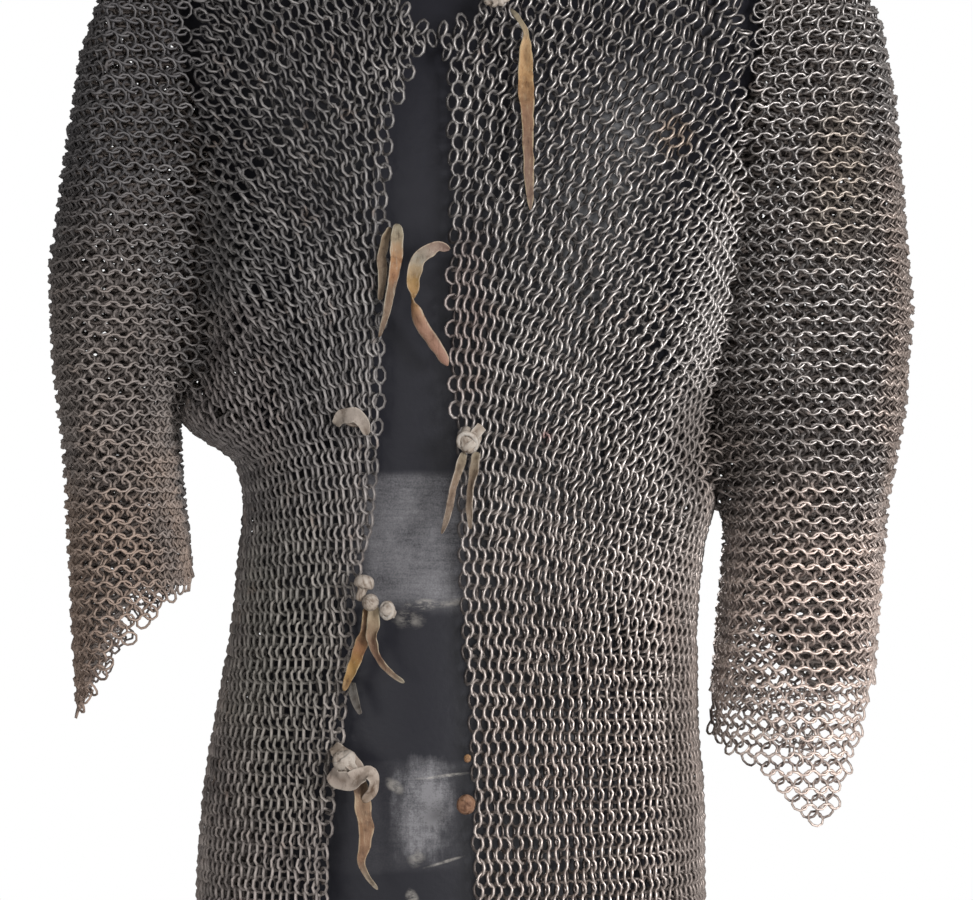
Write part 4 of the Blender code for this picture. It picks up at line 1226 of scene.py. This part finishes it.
class HauberkStage(bpy.types.PropertyGroup):
    """The camera, lights and floor."""

    camera_distance: FloatProperty(
        name="Camera distance", description="From the camera to the form's axis", default=2.4, unit="LENGTH")
    camera_height: FloatProperty(
        name="Camera height", description="Height of the camera", default=0.4692, unit="LENGTH")
    camera_across: FloatProperty(
        name="Camera across", description="Camera's place to the right of the form's axis", default=0.01122,
        unit="LENGTH")
    view_width: FloatProperty(
        name="View width", description="Width that the camera sees at the form's axis", default=0.66164,
        unit="LENGTH")
    room_light: FloatProperty(
        name="Room light", description="Strength of the light that comes from all around", default=0.20)
    floor_radius: FloatProperty(
        name="Floor radius", description="Radius of the round floor", default=1.10, unit="LENGTH")


# ---------------------------------------------------------------------------------------------------------
# Making the pieces


def dress(item, material, slot, *nodes):
    """Gives a piece its material, hides the CAD nodes that it stands for, and rides it on the one body. slot
    is not used.
    """
    item.data.materials.append(material)
    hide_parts(*nodes)
    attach(item, "root")
    return item


def material_once(name, make, *values):
    """The material of that name, made the first time that it is wanted."""
    return bpy.data.materials.get(name) or make(*values)


def from_axis(points):
    """The way out from the body's upright axis."""
    return points * np.array([1.0, 1.0, 0.0])


# How far the rows that start at a height along the opening have dropped by the time they reach the side.
FALLS = {
    -1: table("height drop", [
        (200, 0), (360, 4), (450, 15), (520, 33), (600, 65), (680, 90), (740, 86), (800, 62), (900, 37),
    ]),
    1: table("height drop", [
        (200, 0), (300, 8), (360, 21), (450, 52), (520, 80), (600, 111), (660, 128), (720, 124), (800, 92),
        (900, 50),
    ]),
}
FINE_HEIGHTS = np.linspace(HEM_HEIGHT, NECK_HEIGHT, 500)


def row_starts(look, length):
    """Where the rows of a panel start: closer below the waist, where the mail hangs stretched."""
    starts = [0.0065]
    while starts[-1] < length:
        wide = float(ramp(starts[-1] + HEM_HEIGHT, 0.30, 0.48))
        starts.append(starts[-1] + look.low_step + (look.row_step - look.low_step) * wide)
    return np.array(starts)


# The front panels: the surface of one ring in square millimetres at the waist, what it gains below the
# waist, on the chest and out towards the shoulder, the power of the curve by which its rows drop, a ring's
# segments, and the seed of its unevenness.
Front = namedtuple("Front", "side name ring_area low high outer power segments seed")
FRONTS = (
    Front(-1, "left", 43, 6, 20, 0, 2.0, 8, 11),
    Front(1, "right", 45, 2, 22, 10, 1.6, 9, 12),
)
FIRST_RINGS = 12  # the sample near the open edge from which a front row's rings are counted
ROWS_ABOVE = {"front": 0.12, "back": 0.06}  # how much further than a panel's top its falling rows start


def build_front(front, look):
    """The rings of one front panel."""
    side = front.side
    shares = np.linspace(0, 1, 90)
    grid, lengths = even_grid(front_curve(side), shares * (2 - shares), FINE_HEIGHTS)

    def fall(start, across):
        drop = smooth(FALLS[side], "drop", np.asarray(start) + HEM_HEIGHT)
        return drop * (across * (2 - across)) ** front.power

    def area(points):
        high = ramp(points[:, 2], 0.54, 0.69)
        outer = ramp(points[:, 2], 0.60, 0.74) * ramp(side * points[:, 0], 0.03, 0.12)
        low = ramp(points[:, 2], 0.42, 0.33)
        return (front.ring_area + front.low * low + front.high * high + front.outer * outer) * MM * MM

    rings = lay_rows(grid, lengths, Lay(
        row_starts(look, lengths.max() + ROWS_ABOVE["front"]), area,
        (look.tight_pitch, WIDEST_PITCH["front"]), from_axis, MARGINS["front"], fall,
        lambda points: FIRST_RINGS))
    item = ring_mesh(f"mail_front_{front.name}", [(rings, front.segments, front.seed)], look)
    dress(item, material_once("mail_steel", mail_material, look), "mail", f"front_{front.name}")


# The halves of the back: the span of each row that it takes, the sample from which its rings are counted,
# and the seed of its unevenness.
BackHalf = namedtuple("BackHalf", "name span anchor seed")
BACK_HALVES = (BackHalf("left", (0.0, 0.5), ROW_SAMPLES - 1, 21), BackHalf("right", (0.5, 1.0), 0, 22))


def build_back(look):
    """The rings of the back, as two halves that meet at its middle."""
    grid, lengths = even_grid(back_curve, np.linspace(0, 1, 140), FINE_HEIGHTS)
    starts = row_starts(look, lengths.max() + ROWS_ABOVE["back"])

    def fall(start, across):
        return 0.55 * smooth(FALLS[-1], "drop", np.asarray(start) + HEM_HEIGHT) * (2 * across - 1) ** 2

    def area(points):
        return (54 + 8 * ramp(points[:, 2], 0.62, 0.80)) * MM * MM

    for half in BACK_HALVES:
        rings = lay_rows(grid, lengths, Lay(
            starts, area, (look.tight_pitch, WIDEST_PITCH["back"]), from_axis,
            MARGINS[f"back_{half.name}"], fall, lambda points, half=half: half.anchor, half.span))
        item = ring_mesh(f"mail_back_{half.name}", [(rings, 6, half.seed)], look)
        dress(item, material_once("mail_steel", mail_material, look), "mail", "back")


# The halves of a sleeve: which way each faces, the step between its rows, the surface of one ring in square
# millimetres, how far its rings stay off the cuff's edge on the left and on the right, and a ring's segments.
Layer = namedtuple("Layer", "facing step ring_area lifts segments")
SLEEVE_LAYERS = (
    Layer(-1, 0.0059, 60.0, {-1: 0.007, 1: 0.007}, 9),
    Layer(1, 0.0064, 50.0, {-1: 0.018, 1: 0.034}, 6),
)
STRAIGHT_LEVEL = 0.40  # where the sleeves hang straight
EDGE_SPARE = 0.004  # how far past its lowest ring a sleeve or a fold is worked out
# How far the sleeves' rings lean and how stout their wire is, as shares of the usual, and how much less where
# a sleeve turns away to its sides and at its cuff.
SLEEVE_LIE, SIDE_LIE_LOSS, CUFF_LIE_LOSS = 0.75, 0.32, 0.12
SLEEVE_STOUTNESS, CUFF_STOUTNESS_LOSS = 0.94, 0.08


def above(edges, side, lift=0.0):
    """Picks the places that lie higher than a ragged edge."""
    return lambda points: points[:, 2] > np.interp(side * points[:, 0], edges["out"], edges["height"]) + lift


def count_from_middle(points):
    """Counts a row's rings from the level where the sleeves hang straight."""
    return int(np.argmin(np.abs(points[:, 2] - STRAIGHT_LEVEL)))


def build_sleeve(side, look):
    """The rings of one sleeve: its front and back halves."""
    name = "left" if side < 0 else "right"
    loops = SLEEVES[side]
    middle = side * (loops["outer_x"].mean() + loops["inner_x"].mean()) / 2
    heights = np.linspace(
        ARMHOLE_TOP - EDGE_SPARE, CUFF_EDGES[side]["height"].min() - EDGE_SPARE, 130)
    parts = []
    for number, layer in enumerate(SLEEVE_LAYERS):
        grid, lengths = even_grid(sleeve_curve(side, layer.facing), heights, np.linspace(0, 1, 90) ** 1.3)
        rings = lay_rows(grid, lengths, Lay(
            np.arange(layer.step / 2, lengths.max(), layer.step),
            lambda points, size=layer.ring_area: (size + 8 * ramp(points[:, 2], 0.42, 0.33)) * MM * MM,
            (look.tight_pitch, WIDEST_PITCH["sleeve"]),
            lambda points: from_axis(points) - np.array([middle, 0.0, 0.0]),
            MARGINS["sleeve"], anchor=count_from_middle,
            inside=above(CUFF_EDGES[side], side, layer.lifts[side])))
        edge = np.interp(side * rings.centre[:, 0], CUFF_EDGES[side]["out"], CUFF_EDGES[side]["height"])
        cuff = ramp(rings.centre[:, 2] - edge, 0.10, 0.03)
        turned_away = ramp(np.abs(rings.outward[:, 1]), 0.60, 0.10)
        rings = rings._replace(
            lie=SLEEVE_LIE - SIDE_LIE_LOSS * turned_away - CUFF_LIE_LOSS * cuff,
            stout=SLEEVE_STOUTNESS - CUFF_STOUTNESS_LOSS * cuff)
        parts.append((rings, layer.segments, 31 + 10 * number + side))
    item = ring_mesh(f"mail_sleeve_{name}", parts, look)
    dress(item, material_once("mail_steel", mail_material, look), "mail", f"sleeve_{name}")


# Mail gathered in folds inside the garment, in the darker steel, put there as painted shade inside the
# sleeves,
# armholes and waist: how high each fold reaches, how low, how deep its layers lie, the surface of one ring in
# square millimetres, and how far out from the armhole it reaches.
Fold = namedtuple("Fold", "name side top low_edge depths ring_area reach")
SLEEVE_DEPTHS, ARMHOLE_DEPTHS, WAIST_DEPTHS = (-0.026, 0.024), (0.001, 0.014), (-0.010, 0.012)
LEFT_ARMHOLE_LOW = table("out height", [(150, 457), (160, 470), (175, 484), (190, 498), (210, 510)])
RIGHT_ARMHOLE_LOW = table("out height", [(0, 440), (1000, 440)])
WAIST_LOW = table("out height", [(0, 67), (1000, 67)])
FOLDS = (
    Fold("mail_folds_left", -1, 0.800, FOLD_EDGES[-1], SLEEVE_DEPTHS, 43.0, 1.0),
    Fold("mail_folds_right", 1, 0.800, FOLD_EDGES[1], SLEEVE_DEPTHS, 43.0, 1.0),
    Fold("mail_armhole_left", -1, 0.818, LEFT_ARMHOLE_LOW, ARMHOLE_DEPTHS, 38.0, 0.014),
    Fold("mail_armhole_right", 1, 0.818, RIGHT_ARMHOLE_LOW, ARMHOLE_DEPTHS, 38.0, 0.014),
    Fold("mail_fold_waist", -1, 0.405, WAIST_LOW, WAIST_DEPTHS, 44.0, 1.0),
)
FOLD_CLEARANCE = 0.009
FOLD_SINK = 0.002  # how far a fold's inner end starts inside the form's side, so that no light shows there
FOLD_ROW_STEP = 0.0070
NARROWEST_FOLD, NARROWEST_WAIST_FOLD = 0.004, 0.002
UNDERARM_RISE = 0.03  # up to this far above the armpit, a fold stays out from the sleeve's underarm
FOLD_STOUTNESS = 1.30
FOLD_SWING = 0.005  # how far soft waves swing a fold's layer in and out
FOLD_RIPPLE = 0.0065  # how far out it is to the next radian of such a wave


def fold_curve(fold, deep):
    """A fold's level curves, from its outside to its inner end, with soft waves in its depth."""
    loops = SLEEVES[fold.side]
    order = np.argsort(loops["outer_z"])
    below = np.argsort(loops["inner_z"])

    def curve(height, share):
        form = smooth(FORM, "side", height) - FOLD_SINK
        if fold.top < ARMPITS[fold.side]:
            outer = smooth(BODY, "left" if fold.side < 0 else "right", height) - FOLD_CLEARANCE
            inner = np.minimum(form, outer - NARROWEST_WAIST_FOLD)
        else:
            outer = np.interp(height, loops["outer_z"][order], loops["outer_x"][order]) - FOLD_CLEARANCE
            under = np.interp(height, loops["inner_z"][below], loops["inner_x"][below]) + FOLD_CLEARANCE
            if fold.reach < 1:
                outer = np.minimum(outer, smooth(ARMHOLES[fold.side], "out", height) + fold.reach)
                inner = form
            else:
                low = height < ARMPITS[fold.side] + UNDERARM_RISE
                inner = np.where(low, np.maximum(under, form), form)
            inner = np.minimum(inner, outer - NARROWEST_FOLD)
        out = outer + (inner - outer) * share
        y = deep + FOLD_SWING * np.sin(out / FOLD_RIPPLE + height * 9 + deep * 60)
        return np.stack([fold.side * out, y, np.broadcast_to(height, out.shape)], -1)
    return curve


def build_fold(fold, look):
    """The rings of one inner fold."""
    heights = np.linspace(fold.top, fold.low_edge["height"].min() - EDGE_SPARE, 110)
    parts = []
    for number, deep in enumerate(fold.depths):
        facing = np.array([0.0, math.copysign(1.0, deep), 0.0])
        grid, lengths = even_grid(fold_curve(fold, deep), heights, np.linspace(0, 1, 60))
        rings = lay_rows(grid, lengths, Lay(
            np.arange(0.003, lengths.max(), FOLD_ROW_STEP),
            lambda points: np.full(len(points), fold.ring_area) * MM * MM,
            (look.tight_pitch, WIDEST_PITCH["fold"]), lambda points, facing=facing: facing,
            MARGINS["fold"], anchor=count_from_middle, inside=above(fold.low_edge, fold.side)))
        parts.append((rings._replace(stout=rings.stout * FOLD_STOUTNESS), 5, 61 + 10 * number + fold.side))
    dress(ring_mesh(fold.name, parts, look), material_once("mail_inside_shaded", shaded_inside_material), "mail")


# Each tie that hangs free: its width as a flat cord, and the knots and loops that go with it.
Tie = namedtuple("Tie", "name diameter others")
TIES = (
    Tie("tie_neck", 0.0085, ("knot_neck",)),
    Tie("tie_upper_left", 0.0070, ("nub_left",)),
    Tie("fold_upper_left", 0.0046, ()),
    Tie("tie_upper_right", 0.0074, ()),
    Tie("tie_mid_right_a", 0.0050, ("knot_mid_right",)),
    Tie("tie_mid_right_b", 0.0052, ()),
    Tie("tie_mid_left_a", 0.0068, ("bead_mid_left_a", "bead_mid_left_b", "end_mid_left")),
    Tie("tie_mid_left_b", 0.0058, ("bead_mid_left_c",)),
    Tie("tie_low_left", 0.0076, (
        "knot_low_left", "loop_low_left_a", "loop_low_left_b", "knob_low_right", "bit_low_right")),
)


def build_strap(name, look, seed):
    """One leather strap."""
    item = leather_mesh(f"leather_{name}", [strap_hide(STRAPS[name], look, seed)])
    return dress(item, leather_material(name), "leather", name)


def build_knot(name, look, seed):
    """One leather knot, bead or knob: a creased core with the strips that are wound round it."""
    knot = KNOTS[name]
    x, z, lift = metres(knot.x, knot.z, knot.lift)
    middle = np.array([x, float(front_surface(x, z)) - lift + NESTLED, z])
    half_sizes = np.array(metres(knot.across, knot.deep, knot.high)) / 2
    tilt = math.radians(knot.tilt)
    lean = np.array([[math.cos(tilt), 0, -math.sin(tilt)], [0, 1, 0], [math.sin(tilt), 0, math.cos(tilt)]])
    profile = CAP_PROFILE if name == "bead_mid_left_a" else None
    hides = [lump(middle, half_sizes * knot.core, lean, knot.crease, seed, profile)]
    for number, winding in enumerate(WINDINGS.get(name, ())):
        hides.append(wound_strip(middle, half_sizes * 0.94, lean, winding, seed + 10 * number + 10))
    if name in KNOT_STRAPS:
        hides.append(strap_hide(KNOT_STRAPS[name], look, seed + 5, steps=20))
    item = leather_mesh(f"leather_{name}", hides)
    kind = name if name in LEATHERS else "knots"
    return dress(item, material_once(f"leather_{kind}", leather_material, kind), "leather", name)


def build_ties(look):
    """All the straps, knots and beads."""
    for number, name in enumerate(STRAPS):
        build_strap(name, look, 100 + 20 * number)
    for number, name in enumerate(KNOTS):
        build_knot(name, look, 500 + 60 * number)
    for tie in TIES:
        run = strap_run(STRAPS[tie.name])
        at = np.linspace(0, run["height"][-1], 40)
        route = np.stack([smooth(run, axis, at) for axis in "xyz"], -1)


# The flat cut of each mail panel before it was hung: width, length and area, and the pieces that go with it.
Cut = namedtuple("Cut", "width length area others")


FORM_ROUNDNESS = 0.94  # of the form's section from side to side
CLOSEST_LEVELS = 0.0022
FORM_CREASE = math.radians(50)  # edges of the form that are sharper than this stay sharp


def build_form(look):
    """The torso form as one smooth closed piece."""
    knots = FORM["height"]
    heights = np.interp(np.linspace(0, 1, look.levels), np.linspace(0, 1, len(knots)), knots)
    heights = np.unique(np.concatenate([heights, np.linspace(0.01, 0.9, look.levels)]).round(4))
    heights = np.concatenate([[0.0], heights[1:-1][np.diff(heights)[:-1] > CLOSEST_LEVELS], [knots[-1]]])
    angles = np.arange(look.sides) * 2 * math.pi / look.sides
    vertices = []
    for height in heights:
        side = smooth(FORM, "side", height)
        wave = np.sin(angles)
        depth = np.where(wave > 0, smooth(FORM, "back", height), smooth(FORM, "front", height))
        x = side * np.sign(np.cos(angles)) * np.abs(np.cos(angles)) ** FORM_ROUNDNESS
        y = depth * np.sign(wave) * np.abs(wave) ** ROUNDNESS
        vertices.append(np.stack([x, y, np.full(look.sides, height)], -1))
    rows = len(heights)
    faces = []
    for row in range(rows - 1):
        for i in range(look.sides):
            after = (i + 1) % look.sides
            low, high = row * look.sides, (row + 1) * look.sides
            faces.append((low + i, low + after, high + after, high + i))
    points = np.concatenate(vertices)
    base, top = len(points), len(points) + 1
    points = np.concatenate([points, [[0, 0, heights[0]], [0, 0, heights[-1]]]])
    for i in range(look.sides):
        after = (i + 1) % look.sides
        faces.append((base, after, i))
        faces.append((top, (rows - 1) * look.sides + i, (rows - 1) * look.sides + after))
    mesh = bpy.data.meshes.new("torso_form_smooth")
    mesh.from_pydata([tuple(p) for p in points], [], faces)
    mesh.shade_smooth()
    mesh.set_sharp_from_angle(angle=FORM_CREASE)
    dress(add_object("torso_form_smooth", mesh), form_material(look), "form", "torso_form")


SENSOR_WIDTH = 36  # millimetres
FLOOR_CORNERS = 96
FLOOR_DROP = 0.0005  # how far the floor lies below the form's base
LIT_MIDDLE = (0.0, 0.0, 0.5)  # where every lamp points
Lamp = namedtuple("Lamp", "name place size power")
LAMPS = (
    Lamp("key", (1.25, -1.75, 0.85), 0.7, 55.0),
    Lamp("fill", (-1.6, -2.1, 0.8), 1.2, 14.0),
    Lamp("low_light", (0.5, -2.2, 0.15), 1.0, 14.0),
    Lamp("back_light", (-0.3, 2.4, 1.6), 1.6, 60.0),
)


def build_stage(look):
    """The camera, the lights, the pale surroundings and the floor."""
    scene = bpy.context.scene
    scene.view_settings.view_transform = "Standard"
    camera = add_object("camera", bpy.data.cameras.new("camera"))
    camera.location = (look.camera_across, -look.camera_distance, look.camera_height)
    camera.rotation_euler = (math.pi / 2, 0, 0)
    camera.data.sensor_width = SENSOR_WIDTH
    camera.data.lens = SENSOR_WIDTH * look.camera_distance / look.view_width
    scene.camera = camera

    world = bpy.data.worlds.new("surroundings")
    world.use_nodes = True
    scene.world = world
    root = Shade(world.node_tree)
    seen = root.node("ShaderNodeLightPath")
    pale, dim = (
        root.node("ShaderNodeBackground", {}, {"Color": colour(rgb), "Strength": strength})
        for rgb, strength in (((1.0, 1.0, 1.0), 1.0), ((1.0, 0.97, 0.94), look.room_light)))
    both = root.node("ShaderNodeMixShader", {}, {0: seen, 1: dim, 2: pale})
    feed(world.node_tree.nodes["World Output"], "Surface", both)

    for lamp in LAMPS:
        data = bpy.data.lights.new(lamp.name, "AREA")
        data.size = lamp.size
        data.energy = lamp.power
        item = add_object(lamp.name, data)
        item.location = lamp.place
        aim = Vector(LIT_MIDDLE) - Vector(lamp.place)
        item.rotation_euler = aim.to_track_quat("-Z", "Y").to_euler()

    points = [(0.0, 0.0, 0.0)]
    for i in range(FLOOR_CORNERS):
        turn = 2 * math.pi * i / FLOOR_CORNERS
        points.append((look.floor_radius * math.cos(turn), look.floor_radius * math.sin(turn), 0.0))
    mesh = bpy.data.meshes.new("floor")
    mesh.from_pydata(points, [], [(0, 1 + i, 1 + (i + 1) % FLOOR_CORNERS) for i in range(FLOOR_CORNERS)])
    floor = add_object("floor", mesh)
    floor.location.z = -FLOOR_DROP
    mesh.materials.append(stage_material("floor", (0.86, 0.86, 0.86)))


# ---------------------------------------------------------------------------------------------------------
# Operators, panel and run


class HAUBERK_OT_stage(bpy.types.Operator):
    """Sets up the camera, the lights and the floor"""

    bl_idname = "hauberk.stage"
    bl_label = "Stage"

    def execute(self, context):
        build_stage(context.scene.hauberk_stage)
        return {"FINISHED"}


class HAUBERK_OT_form(bpy.types.Operator):
    """Shapes the torso form that the mail rests on"""

    bl_idname = "hauberk.form"
    bl_label = "Torso form"

    def execute(self, context):
        build_form(context.scene.hauberk_form)
        return {"FINISHED"}


class HAUBERK_OT_fronts(bpy.types.Operator):
    """Lays the rings of the two front panels"""

    bl_idname = "hauberk.fronts"
    bl_label = "Fronts"

    def execute(self, context):
        for front in FRONTS:
            build_front(front, context.scene.hauberk_mail)
        return {"FINISHED"}


class HAUBERK_OT_back(bpy.types.Operator):
    """Lays the rings of the back"""

    bl_idname = "hauberk.back"
    bl_label = "Back"

    def execute(self, context):
        build_back(context.scene.hauberk_mail)
        return {"FINISHED"}


class HAUBERK_OT_sleeves(bpy.types.Operator):
    """Lays the rings of the two sleeves"""

    bl_idname = "hauberk.sleeves"
    bl_label = "Sleeves"

    def execute(self, context):
        for side in (-1, 1):
            build_sleeve(side, context.scene.hauberk_mail)
        return {"FINISHED"}


class HAUBERK_OT_folds(bpy.types.Operator):
    bl_idname = "hauberk.folds"
    bl_label = "Inner folds"

    def execute(self, context):
        for fold in FOLDS:
            build_fold(fold, context.scene.hauberk_mail)
        return {"FINISHED"}


class HAUBERK_OT_ties(bpy.types.Operator):
    """Makes the leather straps, knots and beads"""

    bl_idname = "hauberk.ties"
    bl_label = "Leather ties"

    def execute(self, context):
        build_ties(context.scene.hauberk_ties)
        return {"FINISHED"}


class HAUBERK_PT_panel(bpy.types.Panel):
    """Lists the hauberk's pieces in the sidebar"""

    bl_idname = "HAUBERK_PT_panel"
    bl_label = "Hauberk"
    bl_space_type = "VIEW_3D"
    bl_region_type = "UI"
    bl_category = "Hauberk"

    def draw(self, context):
        for operator in OPERATORS:
            self.layout.operator(operator.bl_idname)


GROUPS = {
    "hauberk_mail": HauberkMail, "hauberk_form": HauberkForm, "hauberk_ties": HauberkTies,
    "hauberk_stage": HauberkStage,
}
OPERATORS = (
    HAUBERK_OT_stage, HAUBERK_OT_ties, HAUBERK_OT_form, HAUBERK_OT_fronts, HAUBERK_OT_back,
    HAUBERK_OT_sleeves, HAUBERK_OT_folds,
)


def register():
    for group in GROUPS.values():
        bpy.utils.register_class(group)
    for name, group in GROUPS.items():
        setattr(bpy.types.Scene, name, PointerProperty(type=group))
    for operator in OPERATORS:
        bpy.utils.register_class(operator)
    bpy.utils.register_class(HAUBERK_PT_panel)


def unregister():
    bpy.utils.unregister_class(HAUBERK_PT_panel)
    for operator in reversed(OPERATORS):
        bpy.utils.unregister_class(operator)
    for name, group in GROUPS.items():
        delattr(bpy.types.Scene, name)
        bpy.utils.unregister_class(group)


def main():
    """Registers the add-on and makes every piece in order."""
    register()
    for operator in OPERATORS:
        area, name = operator.bl_idname.split(".")
        getattr(getattr(bpy.ops, area), name)()


if __name__ == "__main__":
    main()
